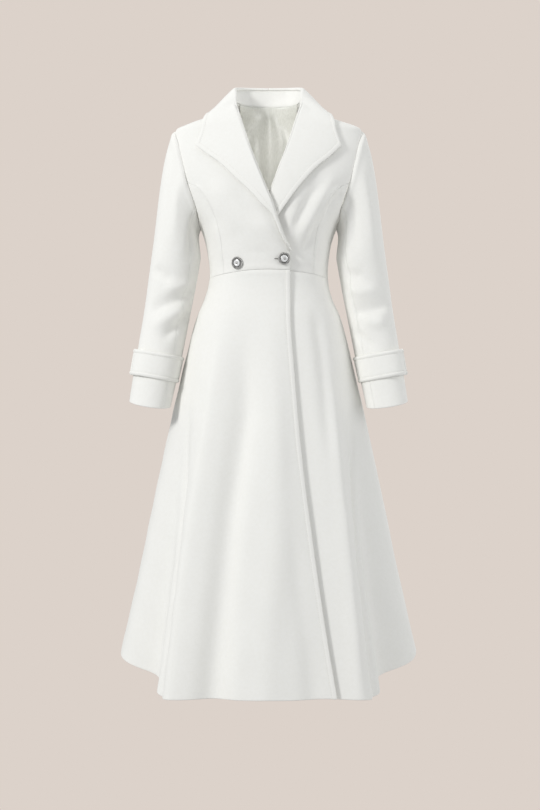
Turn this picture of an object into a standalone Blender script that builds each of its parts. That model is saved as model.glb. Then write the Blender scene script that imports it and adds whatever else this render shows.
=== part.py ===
# Long fit-and-flare wool coat in its worn, hollow form, open at neck, front, cuffs and hem.
# Metres, +Z up, front towards -Y. The origin is at the base of the neck, where shoulders hold the coat.
# Each panel is worked out on its own side, with +across away from the centre front, then mirrored.

import math

import bpy
import numpy as np

# Cloth and clearances
WOOL = 0.003
SATIN = 0.001
STRAP = 0.0035
SEAM = 0.0003
STRAP_GAP = 0.0006
COLLAR_CLEARANCE = 0.0045

# The right front laps over the left one, which lies this far inside it
LAP = 0.0060
HEM_LAP = 0.0090
LAPEL_LAP = 0.0135
LAPEL_LAP_HEIGHTS = (-0.300, -0.245)
LAP_FADE = 0.055
UNDER_REACH_SHARE = 0.2

# Waist seam, side seam and buttons
WAIST_FRONT = -0.341
WAIST_SIDE_DROP = 0.011
SIDE_SEAM_HEM_DEG = 92.0
FLUTE_START = -0.44
FLUTE_END = -1.165
FLUTE_POWER = 1.3
BUTTON_RADIUS = 0.0125
BUTTON_SPOTS = {"button_outer": (0.061, -0.327), "button_fastened": (-0.0305, -0.3195)}

# Sampling of each panel
PRINCESS_ROWS = 7
ARMHOLE_UPPER = 6
ARMHOLE_LOWER = 5
ARMHOLE_BACK = 12
CENTRE_COLUMNS = 8
BACK_NECK_ROWS = 6
BACK_BLADE_HEIGHT = -0.235
BACK_SKIRT_COLUMNS = 14
CAP_ROWS = 6
UNDER_SLEEVE_START = 8
UNDER_SLEEVE_END = 17
SKIRT_ROWS = (0.0, 0.04, 0.08, 0.125, 0.18, 0.26, 0.36, 0.48, 0.61, 0.74, 0.87, 1.0)

# Body rings: height, half width, front depth, back depth
BODY_RINGS = (
    (0.012, 0.066, 0.030, 0.064),
    (0.000, 0.080, 0.036, 0.068),
    (-0.020, 0.126, 0.046, 0.077),
    (-0.047, 0.189, 0.060, 0.088),
    (-0.096, 0.196, 0.086, 0.102),
    (-0.136, 0.193, 0.104, 0.108),
    (-0.170, 0.183, 0.115, 0.110),
    (-0.213, 0.158, 0.123, 0.109),
    (-0.250, 0.137, 0.124, 0.106),
    (-0.295, 0.125, 0.118, 0.099),
    (-0.341, 0.120, 0.112, 0.094),
    (-0.365, 0.1225, 0.113, 0.097),
    (-0.394, 0.131, 0.117, 0.105),
    (-0.426, 0.145, 0.124, 0.115),
    (-0.476, 0.159, 0.134, 0.128),
    (-0.574, 0.183, 0.151, 0.150),
    (-0.689, 0.209, 0.172, 0.174),
    (-0.820, 0.237, 0.195, 0.198),
    (-0.951, 0.264, 0.217, 0.222),
    (-1.082, 0.294, 0.238, 0.244),
    (-1.175, 0.315, 0.253, 0.259),
)

# Skirt folds: degrees from centre front, reach at the hem (out is plus), spread in degrees
FLUTES = (
    (20.0, -0.012, 8.0),
    (38.0, 0.006, 8.0),
    (60.0, -0.056, 12.0),
    (98.0, 0.002, 14.0),
    (130.0, -0.030, 11.0),
    (155.0, 0.010, 10.0),
    (180.0, -0.020, 10.0),
)

# Hem: degrees from centre front, height
HEM = (
    (0.0, -1.164),
    (20.0, -1.166),
    (40.0, -1.172),
    (52.0, -1.159),
    (66.0, -1.138),
    (82.0, -1.118),
    (98.0, -1.108),
    (130.0, -1.130),
    (155.0, -1.128),
    (180.0, -1.138),
)

# Front edge of the skirt: height, reach past the centre front
FRONT_EDGE = (
    (-0.300, 0.0424),
    (-0.420, 0.0425),
    (-0.560, 0.0516),
    (-0.715, 0.0663),
    (-0.866, 0.0867),
    (-1.016, 0.1090),
    (-1.175, 0.1355),
)

# Front edge and roll line of the bodice, the lapel's outer edge, and how much lower that is on the left:
# across, height, across, height, drop
FRONT_LINE = (
    (-0.0424, -0.341, -0.0424, -0.341, 0.0),
    (-0.0424, -0.322, -0.0424, -0.322, 0.0),
    (-0.0413, -0.304, -0.0393, -0.300, 0.0),
    (-0.0263, -0.273, -0.0215, -0.267, 0.0),
    (-0.0127, -0.2356, -0.0060, -0.232, 0.0),
    (-0.0045, -0.2105, 0.0110, -0.215, 0.031),
    (0.0060, -0.185, 0.0290, -0.194, 0.025),
    (0.0235, -0.140, 0.0602, -0.163, 0.012),
    (0.0380, -0.100, 0.0943, -0.129, 0.007),
    (0.0452, -0.078, 0.1200, -0.1085, 0.005),
    (0.0518, -0.056, 0.1433, -0.089, 0.0),
    (0.0620, -0.022, 0.1335, -0.056, 0.0),
    (0.0680, 0.000, 0.1290, -0.030, 0.0),
    (0.0660, 0.012, 0.0660, 0.012, 0.0),
)
LAPEL_ROWS = {"right": 2, "left": 5}
LAPEL_DROPS = {"right": 0.0, "left": 1.0}
NECK_HEIGHT = 0.012

# Princess seam from the waist up, without its end in the armhole: across, height
PRINCESS = (
    (0.091, -0.349),
    (0.095, -0.275),
    (0.107, -0.232),
    (0.117, -0.206),
    (0.130, -0.186),
    (0.144, -0.172),
)

# Armhole from the underarm up to the shoulder tip: across, height
ARMHOLE = (
    (0.137, -0.250),
    (0.146, -0.2134),
    (0.160, -0.172),
    (0.168, -0.1445),
    (0.177, -0.103),
    (0.184, -0.075),
    (0.189, -0.047),
)

# Sleeve rings below the head: height, across, forward, half width, half depth
SLEEVE_RINGS = (
    (-0.305, 0.1890, 0.000, 0.0500, 0.0590),
    (-0.335, 0.1935, 0.000, 0.0495, 0.0580),
    (-0.360, 0.1975, 0.000, 0.0490, 0.0570),
    (-0.385, 0.2015, 0.001, 0.0482, 0.0555),
    (-0.410, 0.2055, 0.003, 0.0474, 0.0540),
    (-0.440, 0.2105, 0.007, 0.0467, 0.0525),
    (-0.475, 0.2165, 0.013, 0.0462, 0.0510),
    (-0.505, 0.2215, 0.019, 0.0456, 0.0500),
    (-0.530, 0.2260, 0.025, 0.0450, 0.0490),
    (-0.555, 0.2305, 0.031, 0.0442, 0.0480),
    (-0.580, 0.2350, 0.037, 0.0432, 0.0470),
    (-0.607, 0.2395, 0.044, 0.0422, 0.0460),
)
# Way the sleeve leaves the armhole at the shoulder tip and at the underarm, and how strongly
HEAD_LEAVE = np.array((0.80, 0.0, -0.60))
UNDERARM_LEAVE = np.array((0.60, 0.0, -0.80))
HEAD_PULL = 0.42
SLEEVE_PULL = 0.9

# How much lower each ring below the strap hangs in front, as a share of its depth
END_DROOP = 0.06

STRAP_RINGS = (7, 9)
STRAP_START_COLUMN = 3
STRAP_LAP_COLUMNS = 2

# Collar at the back of the neck, from centre back forward: across, forward and height of the stand's
# foot, of the roll line and of the fall's outer edge
COLLAR_BACK = (
    (0.0000, -0.0640, 0.0125, 0.0000, -0.073, 0.049, 0.000, -0.106, -0.018),
    (0.0330, -0.0554, 0.0125, 0.0340, -0.067, 0.048, 0.054, -0.100, -0.017),
    (0.0572, -0.0320, 0.0125, 0.0580, -0.046, 0.044, 0.096, -0.074, -0.014),
    (0.0660, -0.0020, 0.0132, 0.0700, -0.016, 0.036, 0.119, -0.036, -0.012),
    (0.0640, 0.0030, 0.0135, 0.0695, 0.004, 0.021, 0.126, 0.006, -0.016),
)
COLLAR_START = 0.0024
LAPEL_START = 0.0006
FOLD_RADIUS = 0.0026
FOLD_STEPS = 4
FALL_STEPS = 7
FALL_CROWN = 0.0035
FALL_WIDTH = 0.075

STAND_SHARES = (0.0, 0.34, 0.67, 1.0)

# Back lining: share of its spread either side of centre back, then its rows: height, spread in degrees,
# gap to the back
LINING_SHARES = (0.0, 0.08, 0.16, 0.25, 0.40, 0.60, 0.80, 1.0)
LINING_ROWS = (
    (0.0105, 70.0, 0.0012),
    (0.0040, 56.0, 0.0020),
    (-0.003, 49.0, 0.0026),
    (-0.010, 46.0, 0.0028),
    (-0.018, 46.0, 0.0028),
    (-0.030, 48.0, 0.0028),
    (-0.050, 53.0, 0.0026),
    (-0.085, 60.0, 0.0024),
    (-0.135, 66.0, 0.0024),
    (-0.195, 70.0, 0.0024),
    (-0.255, 70.0, 0.0024),
    (-0.305, 70.0, 0.0024),
)
PLEAT_DEPTH = 0.006
PLEAT_SPREAD = 6.0

# Button profile: share of the radius, height above the cloth
BUTTON_PROFILE = (
    (0.45, 0.0009),
    (0.94, 0.0014),
    (1.00, 0.0028),
    (0.94, 0.0042),
    (0.82, 0.0045),
    (0.72, 0.0036),
    (0.62, 0.0042),
    (0.40, 0.0058),
    (0.16, 0.0066),
)
BUTTON_SIDES = 24


def make_material(name, colour, roughness, metallic):
    material = bpy.data.materials.new(name)
    material.use_nodes = True
    shader = material.node_tree.nodes["Principled BSDF"]
    shader.inputs["Base Color"].default_value = (*colour, 1.0)
    shader.inputs["Roughness"].default_value = roughness
    shader.inputs["Metallic"].default_value = metallic
    return material


def smooth_curve(keys, values):
    """Smooth function through the given pairs that never overshoots them; keys rise."""
    keys = np.asarray(keys, float)
    values = np.asarray(values, float)
    steps = np.diff(keys)
    slopes = np.diff(values) / steps
    tangents = np.concatenate(([slopes[0]], (slopes[1:] + slopes[:-1]) / 2, [slopes[-1]]))
    for i in range(1, len(keys) - 1):
        before, after = slopes[i - 1], slopes[i]
        if before * after <= 0:
            tangents[i] = 0.0
        else:
            tangents[i] = 2 * before * after / (before + after)

    def value(key):
        i = int(np.clip(np.searchsorted(keys, key) - 1, 0, len(steps) - 1))
        t = min(max((key - keys[i]) / steps[i], 0.0), 1.0)
        rise = values[i] * (1 + 2 * t) * (1 - t) ** 2 + values[i + 1] * t * t * (3 - 2 * t)
        return rise + steps[i] * (tangents[i] * t * (1 - t) ** 2 + tangents[i + 1] * t * t * (t - 1))

    return value


def table_curve(rows, column):
    """Smooth function of a table's first column, in either order."""
    ordered = sorted(rows)
    return smooth_curve([row[0] for row in ordered], [row[column] for row in ordered])


half_width = table_curve(BODY_RINGS, 1)
front_depth = table_curve(BODY_RINGS, 2)
back_depth = table_curve(BODY_RINGS, 3)
hem_height = table_curve(HEM, 1)
over_reach = table_curve(FRONT_EDGE, 1)
roll_across = table_curve([(height, across) for across, height, *_ in FRONT_LINE], 1)


def ease(share):
    share = min(max(share, 0.0), 1.0)
    return share * share * (3 - 2 * share)


def unit(vector):
    return vector / np.linalg.norm(vector)


def flute(angle, height):
    """How far the skirt's folds push the wall out at this place."""
    grow = max((FLUTE_START - height) / (FLUTE_START - FLUTE_END), 0.0) ** FLUTE_POWER
    degrees = abs(math.degrees(angle))
    return grow * sum(reach * math.exp(-((degrees - at) / spread) ** 2) for at, reach, spread in FLUTES)


def body(angle, height):
    """Outer form of the coat without sleeves; angle 0 is centre front."""
    depth = front_depth(height) if math.cos(angle) > 0 else back_depth(height)
    across = half_width(height) * math.sin(angle)
    forward = depth * math.cos(angle)
    spread = 1 + flute(angle, height) / math.hypot(across, forward)
    return np.array((across * spread, -forward * spread, height))


def body_normal(angle, height):
    step = 0.002
    around = body(angle + step, height) - body(angle - step, height)
    up = body(angle, height + step) - body(angle, height - step)
    return unit(np.cross(around, up))


def surface(angle, height, out=0.0):
    return body(angle, height) + body_normal(angle, height) * out


def front_angle(across, height):
    return math.asin(min(max(across / half_width(height), -1.0), 1.0))


def waist_height(angle):
    return WAIST_FRONT - WAIST_SIDE_DROP * math.sin(angle) ** 2


def no_inset(angle, height):
    return 0.0


def under_inset(angle, height):
    """The left front's distance inside the coat's form where the right front covers it."""
    low, high = LAPEL_LAP_HEIGHTS
    depth = LAP + (LAPEL_LAP - LAP) * ease((height - low) / (high - low))
    depth += (HEM_LAP - LAP) * ease((low - height) / (low - FLUTE_END))
    edge = over_reach(height) if height < low else -roll_across(height)
    across = half_width(height) * math.sin(angle)
    return depth * (1 - ease((across - edge) / LAP_FADE))


def sample(points, segments):
    """Even samples along a smooth curve through (angle, height) pairs."""
    points = np.asarray(points, float)
    arm = 0.15
    lengths = np.hypot(np.diff(points[:, 0]) * arm, np.diff(points[:, 1]))
    along = np.concatenate(([0.0], np.cumsum(lengths)))
    angle_at = smooth_curve(along, points[:, 0])
    height_at = smooth_curve(along, points[:, 1])
    stops = np.linspace(0.0, along[-1], segments + 1)
    return np.array([(angle_at(s), height_at(s)) for s in stops])


def on_front(table):
    return [(front_angle(across, height), height) for across, height in table]


def on_back(pairs):
    return np.array([(math.pi - angle, height) for angle, height in pairs])


def fill(left, right, first, last, shares=None):
    """Grid of (angle, height) between four sampled edges that share their corners."""
    v = np.linspace(0, 1, len(left)) if shares is None else np.array(shares)
    v = v[:, None, None]
    u = np.linspace(0, 1, len(first))[None, :, None]
    sideways = (1 - u) * left[:, None] + u * right[:, None]
    lengthways = (1 - v) * first[None] + v * last[None]
    near = (1 - u) * first[0] + u * first[-1]
    far = (1 - u) * last[0] + u * last[-1]
    return sideways + lengthways - (1 - v) * near - v * far


def open_seams(grid, gap=SEAM):
    """Draw each edge of a grid of points back by half the gap at a seam."""
    grid = grid.copy()
    for turned in (grid, grid.transpose(1, 0, 2)):
        for edge, inner in ((0, 1), (-1, -2)):
            step = turned[inner] - turned[edge]
            turned[edge] += step / np.linalg.norm(step, axis=1, keepdims=True) * gap / 2
    return grid


def lift(pairs, inset=no_inset, depth=0.0):
    return np.array([[surface(a, h, -inset(a, h) - depth) for a, h in row] for row in pairs])


def grid_normals(grid, around=False):
    padded = np.concatenate((grid[:, -2:-1], grid, grid[:, 1:2]), axis=1) if around else grid
    lengthways = np.gradient(padded, axis=0)
    sideways = np.gradient(padded, axis=1)
    normals = np.cross(sideways, lengthways)
    normals /= np.linalg.norm(normals, axis=2, keepdims=True)
    return normals[:, 1:-1] if around else normals


def make_object(name, points, faces, material, side):
    """Closed mesh from points on the own side, mirrored to the wearer's right where side is -1."""
    points = np.asarray(points, float) * (side, 1.0, 1.0)
    volume = 0.0
    for face in faces:
        for second, third in zip(face[1:-1], face[2:]):
            volume += np.dot(points[face[0]], np.cross(points[second], points[third]))
    if volume < 0:
        faces = [tuple(reversed(face)) for face in faces]
    mesh = bpy.data.meshes.new(name)
    mesh.from_pydata([tuple(point) for point in points], [], faces)
    mesh.materials.append(material)
    mesh.shade_smooth()
    mesh.set_sharp_from_angle(angle=math.radians(40))
    part = bpy.data.objects.new(name, mesh)
    bpy.context.scene.collection.objects.link(part)
    return part


def make_wall(name, outer, inner, material, side):
    """Closed wall between two grids of points with the same rows and columns."""
    rows, columns = outer.shape[:2]
    count = rows * columns

    def at(row, column, layer):
        return layer * count + row * columns + column

    faces = []
    for r in range(rows - 1):
        for c in range(columns - 1):
            faces.append((at(r, c, 0), at(r, c + 1, 0), at(r + 1, c + 1, 0)))
            faces.append((at(r, c, 0), at(r + 1, c + 1, 0), at(r + 1, c, 0)))
            faces.append((at(r, c, 1), at(r + 1, c + 1, 1), at(r, c + 1, 1)))
            faces.append((at(r, c, 1), at(r + 1, c, 1), at(r + 1, c + 1, 1)))
    rim = [(0, c) for c in range(columns)] + [(r, columns - 1) for r in range(1, rows)]
    rim += [(rows - 1, c) for c in range(columns - 2, -1, -1)] + [(r, 0) for r in range(rows - 2, 0, -1)]
    for here, there in zip(rim, rim[1:] + rim[:1]):
        if here < there:
            faces.append((at(*here, 0), at(*here, 1), at(*there, 1)))
            faces.append((at(*here, 0), at(*there, 1), at(*there, 0)))
        else:
            faces.append((at(*here, 0), at(*here, 1), at(*there, 0)))
            faces.append((at(*here, 1), at(*there, 1), at(*there, 0)))
    points = np.concatenate((outer.reshape(-1, 3), inner.reshape(-1, 3)))
    return make_object(name, points, faces, material, side)


def make_panel(name, pairs, side, inset=no_inset):
    outer = open_seams(lift(pairs, inset))
    inner = open_seams(lift(pairs, inset, WOOL))
    return make_wall(name, outer, inner, wool, side)


def armhole_samples():
    """Front armhole from underarm to shoulder tip, cut where the princess seam ends."""
    whole = sample(on_front(ARMHOLE), ARMHOLE_LOWER + ARMHOLE_UPPER)
    return whole[:ARMHOLE_LOWER + 1], whole[ARMHOLE_LOWER:]


def princess_samples():
    lower, upper = armhole_samples()
    start = [(angle, waist_height(angle)) for angle, height in on_front(PRINCESS[:1])]
    return sample(start + on_front(PRINCESS[1:]) + [tuple(upper[0])], PRINCESS_ROWS)


def side_seam_samples():
    right = math.pi / 2
    return sample([(right, waist_height(right)), (right, ARMHOLE[0][1])], PRINCESS_ROWS)


def waist_samples(start, end, segments):
    return np.array([(a, waist_height(a)) for a in np.linspace(start, end, segments + 1)])


def front_line_pairs():
    return np.array(on_front([row[:2] for row in FRONT_LINE]))


def centre_waist_samples():
    edge = front_line_pairs()[0][0]
    waist = waist_samples(edge, princess_samples()[0][0], CENTRE_COLUMNS)
    waist[0] = front_line_pairs()[0]
    return waist


def side_waist_samples():
    return waist_samples(princess_samples()[0][0], math.pi / 2, ARMHOLE_LOWER)


def shoulder_samples():
    return sample([(math.pi / 2, NECK_HEIGHT), (math.pi / 2, ARMHOLE[-1][1])], CENTRE_COLUMNS)


def make_bodice_fronts(word, side, inset):
    lower, upper = armhole_samples()
    princess = princess_samples()
    outside = np.concatenate((princess, upper[1:]))
    centre = fill(front_line_pairs(), outside, centre_waist_samples(), shoulder_samples())
    make_panel(f"bodice_centre_front_{word}", centre, side, inset)
    flank = fill(princess, side_seam_samples(), side_waist_samples(), lower[::-1])
    make_panel(f"bodice_side_front_{word}", flank, side, inset)


def back_armhole_samples():
    return on_back(sample(on_front(ARMHOLE), ARMHOLE_BACK))


def back_pairs():
    """Columns from centre back, or from the neck above it, out to the side seam and armhole."""
    outside = np.concatenate((side_seam_samples(), back_armhole_samples()[1:]))
    upper_rows = len(outside) - 1 - BACK_NECK_ROWS - PRINCESS_ROWS
    lower = sample([(math.pi, waist_height(math.pi)), (math.pi, BACK_BLADE_HEIGHT)], PRINCESS_ROWS)
    upper = sample([(math.pi, BACK_BLADE_HEIGHT), (math.pi, NECK_HEIGHT)], upper_rows)
    neck = sample([(math.pi, NECK_HEIGHT), (math.pi / 2, NECK_HEIGHT)], BACK_NECK_ROWS)
    waist = waist_samples(math.pi, math.pi / 2, CENTRE_COLUMNS)
    return fill(np.concatenate((lower, upper[1:], neck[1:])), outside, waist, shoulder_samples())


def skirt_edge(top, bottom_angle, angle_at):
    heights = [top + (hem_height(abs(math.degrees(bottom_angle))) - top) * share for share in SKIRT_ROWS]
    return np.array([(angle_at(height), height) for height in heights])


def hem_samples(start, end, segments):
    return np.array([(a, hem_height(abs(math.degrees(a)))) for a in np.linspace(start, end, segments + 1)])


def side_angle(height):
    waist = waist_height(math.pi / 2)
    share = (waist - height) / (waist - FLUTE_END)
    return math.pi / 2 + (math.radians(SIDE_SEAM_HEM_DEG) - math.pi / 2) * min(max(share, 0.0), 1.0)


def side_skirt_samples():
    hem = hem_height(SIDE_SEAM_HEM_DEG)
    return skirt_edge(waist_height(math.pi / 2), side_angle(hem), side_angle)


def make_skirt_front(word, side, share, inset):
    waist = np.concatenate((centre_waist_samples(), side_waist_samples()[1:]))
    first = over_reach(waist[0][1])

    def edge_angle(height):
        reach = first + (over_reach(height) - first) * share
        return front_angle(-reach, height)

    hem_angle = edge_angle(HEM[0][1])
    edge = skirt_edge(waist[0][1], hem_angle, edge_angle)
    edge[0] = waist[0]
    seam = side_skirt_samples()
    hem = hem_samples(edge[-1][0], seam[-1][0], len(waist) - 1)
    hem[0] = edge[-1]
    hem[-1] = seam[-1]
    make_panel(f"skirt_front_{word}", fill(edge, seam, waist, hem, SKIRT_ROWS), side, inset)


def make_skirt_back(word, side):
    waist = waist_samples(math.pi / 2, math.pi, BACK_SKIRT_COLUMNS)
    seam = side_skirt_samples()
    middle = skirt_edge(waist[-1][1], math.pi, lambda height: math.pi)
    hem = hem_samples(seam[-1][0], math.pi, len(waist) - 1)
    hem[0] = seam[-1]
    make_panel(f"skirt_back_{word}", fill(seam, middle, waist, hem, SKIRT_ROWS), side)


def sleeve_grid():
    """Rows from the armhole to the sleeve's end, columns round from the shoulder tip by the front."""
    lower, upper = armhole_samples()
    front = np.concatenate((lower, upper[1:]))[::-1]
    loop = np.concatenate((front, back_armhole_samples()[1:]))
    tops = np.array([body(angle, height) for angle, height in loop])
    front_turns = np.linspace(0, math.pi, len(front))
    back_turns = np.linspace(math.pi, 2 * math.pi, ARMHOLE_BACK + 1)[1:]
    turns = np.concatenate((front_turns, back_turns))
    centres = np.array([(across, -forward, height) for height, across, forward, *_ in SLEEVE_RINGS])
    axes = np.gradient(centres, axis=0)
    rings = []
    for index, (centre, axis, ring) in enumerate(zip(centres, axes, SLEEVE_RINGS)):
        axis = unit(axis)
        outward = unit(np.array((1.0, 0.0, 0.0)) - axis * axis[0])
        droop = END_DROOP * max(index - STRAP_RINGS[1], 0)
        ahead = unit(np.array((0.0, -1.0, -droop)))
        wide, deep = outward * ring[3], ahead * ring[4]
        rings.append([centre + wide * math.cos(turn) + deep * math.sin(turn) for turn in turns])
    rings = np.array(rings)
    rows = []
    lengths = np.linalg.norm(rings[0] - tops, axis=1, keepdims=True)
    crown = ((1 + np.cos(turns)) / 2)[:, None]
    leave = HEAD_LEAVE * crown + UNDERARM_LEAVE * (1 - crown)
    pull = HEAD_PULL * crown + SLEEVE_PULL * (1 - crown)
    leave *= lengths * pull / np.linalg.norm(leave, axis=1, keepdims=True)
    arrive = unit(axes[0]) * lengths * SLEEVE_PULL
    for share in np.linspace(0, 1, CAP_ROWS + 1)[:-1]:
        rise = share * share * (3 - 2 * share)
        bend = leave * share * (1 - share) ** 2 + arrive * share * share * (share - 1)
        rows.append(tops * (1 - rise) + rings[0] * rise + bend)
    return np.concatenate((np.array(rows), rings))


def make_sleeve(word, side):
    outer = sleeve_grid()
    normals = grid_normals(outer, around=True)
    centre_side = outer.mean(axis=1, keepdims=True)
    if np.sum((outer - centre_side) * normals) < 0:
        normals = -normals
    inner = outer - normals * WOOL
    first, last = UNDER_SLEEVE_START, UNDER_SLEEVE_END
    for name, columns in (("upper", list(range(last, outer.shape[1] - 1)) + list(range(first + 1))),
                          ("under", list(range(first, last + 1)))):
        make_wall(f"{name}_sleeve_{word}", open_seams(outer[:, columns]), open_seams(inner[:, columns]),
                  wool, side)
    make_cuff_strap(word, side, outer, normals)


def make_cuff_strap(word, side, sleeve, normals):
    """Band on the sleeve's own points, round by the back; its end laps over its start at the outside."""
    start, end = (CAP_ROWS + ring for ring in STRAP_RINGS)
    around = sleeve.shape[1] - 1
    columns = [(STRAP_START_COLUMN - i) % around for i in range(around + STRAP_LAP_COLUMNS + 1)]
    raise_by = STRAP + STRAP_GAP
    lifted = []
    for i in range(len(columns)):
        lifted.append(STRAP_GAP + raise_by * ease((i - around + 3) / 3))
    lifted = np.array(lifted)[None, :, None]
    points = sleeve[start:end + 1][:, columns]
    outward = normals[start:end + 1][:, columns]
    outer = points + outward * (lifted + STRAP)
    make_wall(f"cuff_strap_{word}", outer, points + outward * lifted, wool, side)


def collar_back_points(place):
    """Points of the stand's foot (0), the roll line (1) or the outer edge (2)."""
    columns = np.array(COLLAR_BACK)[:, 3 * place:3 * place + 3]
    return columns * (1.0, -1.0, 1.0)


def collar_stations(inset, word):
    """Roll line and outer edge as points, from centre back to the end of the lapel."""
    rolls = list(collar_back_points(1))
    edges = list(collar_back_points(2))
    outwards = [None] * len(rolls)
    for roll_x, roll_z, edge_x, edge_z, drop in FRONT_LINE[-2:LAPEL_ROWS[word] - 1:-1]:
        edge_z -= drop * LAPEL_DROPS[word]
        angle = front_angle(roll_x, roll_z)
        rolls.append(surface(angle, roll_z, -inset(angle, roll_z) - WOOL / 2))
        outwards.append(body_normal(angle, roll_z))
        angle = front_angle(edge_x, edge_z)
        rise = COLLAR_CLEARANCE + WOOL / 2
        edges.append(surface(angle, edge_z, rise - inset(angle, edge_z)))
    return np.array(rolls), np.array(edges), outwards


def clear_of_body(point, inset):
    """Move a point of the collar out until it clears the bodice below it."""
    across, along, height = point
    if height > NECK_HEIGHT:
        return point
    depth = front_depth(height) if along < 0 else back_depth(height)
    angle = math.atan2(across / half_width(height), -along / depth)
    foot = surface(angle, height, -inset(angle, height))
    outward = body_normal(angle, height)
    lack = COLLAR_CLEARANCE + WOOL / 2 - np.dot(point - foot, outward)
    return point + outward * max(lack, 0.0)


def make_collar(word, side, inset):
    rolls, edges, outwards = collar_stations(inset, word)
    tangents = np.gradient(rolls, axis=0)
    grid = []
    for roll, edge, outward, tangent in zip(rolls, edges, outwards, tangents):
        tangent = unit(tangent)
        start_gap = LAPEL_START
        if outward is None:
            outward = unit(np.cross(tangent, edge - roll))
            start_gap = COLLAR_START
        down = unit(np.cross(outward, tangent))
        if np.dot(down, edge - roll) < 0:
            down = -down
        start = roll - down * start_gap
        middle = start + outward * FOLD_RADIUS
        row = []
        for step in range(FOLD_STEPS + 1):
            turn = math.pi * step / FOLD_STEPS
            row.append(middle - FOLD_RADIUS * (outward * math.cos(turn) + down * math.sin(turn)))
        top = row[-1]
        fullness = min(np.linalg.norm(edge - top) / FALL_WIDTH, 1.0) ** 2
        for step in range(1, FALL_STEPS + 1):
            share = step / FALL_STEPS
            crown = FALL_CROWN * fullness * 4 * share * (1 - share)
            row.append(clear_of_body(top + (edge - top) * share + outward * crown, inset))
        grid.append(row)
    grid = np.array(grid)
    normals = grid_normals(grid)
    grid[0, :, 0] = SEAM / 2
    normals[0, :, 0] = 0.0
    normals[0] /= np.linalg.norm(normals[0], axis=1, keepdims=True)
    make_wall(f"collar_{word}", grid + normals * WOOL / 2, grid - normals * WOOL / 2, wool, side)


def make_collar_stand():
    """Band between the neck seam and the roll line, whose inside shows at the back of the neck."""
    mirror = np.array((-1.0, 1.0, 1.0))
    feet, tops = (np.concatenate((half[:0:-1] * mirror, half)) for half in map(collar_back_points, (0, 1)))
    grid = np.array([feet + (tops - feet) * share for share in STAND_SHARES])
    normals = grid_normals(grid)
    grid = open_seams(grid)
    make_wall("collar_stand", grid + normals * WOOL / 2, grid - normals * WOOL / 2, wool, 1)


def make_back_lining():
    """Satin inside the back of the neck, with a pleat down its middle."""
    shares = [-share for share in LINING_SHARES[:0:-1]] + list(LINING_SHARES)
    pairs = [[(math.radians(180.0 + spread * share), height) for share in shares]
             for height, spread, _ in LINING_ROWS]
    gap = table_curve([(height, gap) for height, _, gap in LINING_ROWS], 1)

    def pleat(angle, height):
        return gap(height) + PLEAT_DEPTH * math.exp(-((math.degrees(angle) - 180.0) / PLEAT_SPREAD) ** 2)

    outer = open_seams(lift(pairs, pleat, WOOL))
    inner = open_seams(lift(pairs, pleat, WOOL + SATIN))
    make_wall("back_lining", outer, inner, satin, 1)


def make_button(name, across, height):
    """Turned button on the right front, square to the cloth under it."""
    angle = front_angle(across, height)
    foot = surface(angle, height)
    outward = body_normal(angle, height)
    sideways = unit(np.cross((0.0, 0.0, 1.0), outward))
    upward = np.cross(outward, sideways)
    points = []
    for share, rise in BUTTON_PROFILE:
        for side in range(BUTTON_SIDES):
            turn = 2 * math.pi * side / BUTTON_SIDES
            spoke = sideways * math.cos(turn) + upward * math.sin(turn)
            points.append(foot + spoke * share * BUTTON_RADIUS + outward * rise)
    rings = len(BUTTON_PROFILE)
    faces = []
    for ring in range(rings - 1):
        for side in range(BUTTON_SIDES):
            here = ring * BUTTON_SIDES + side
            after = ring * BUTTON_SIDES + (side + 1) % BUTTON_SIDES
            faces.append((here, after, after + BUTTON_SIDES, here + BUTTON_SIDES))
    faces.append(tuple(range(BUTTON_SIDES - 1, -1, -1)))
    faces.append(tuple(range((rings - 1) * BUTTON_SIDES, rings * BUTTON_SIDES)))
    make_object(name, np.array(points), faces, metal, -1)


for leftover in list(bpy.data.objects):
    bpy.data.objects.remove(leftover, do_unlink=True)

wool = make_material("ivory_wool", (0.84, 0.83, 0.79), 0.9, 0.0)
satin = make_material("satin_lining", (0.78, 0.75, 0.67), 0.45, 0.0)
metal = make_material("antique_silver", (0.45, 0.43, 0.40), 0.35, 1.0)

make_bodice_fronts("right", -1, no_inset)
make_bodice_fronts("left", 1, under_inset)
make_skirt_front("right", -1, 1.0, no_inset)
make_skirt_front("left", 1, UNDER_REACH_SHARE, under_inset)
make_collar("right", -1, no_inset)
make_collar("left", 1, under_inset)
make_collar_stand()
make_back_lining()
for word, side in (("right", -1), ("left", 1)):
    make_panel(f"bodice_back_{word}", back_pairs(), side)
    make_skirt_back(word, side)
    make_sleeve(word, side)
for name, (across, height) in BUTTON_SPOTS.items():
    make_button(name, across, height)
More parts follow.
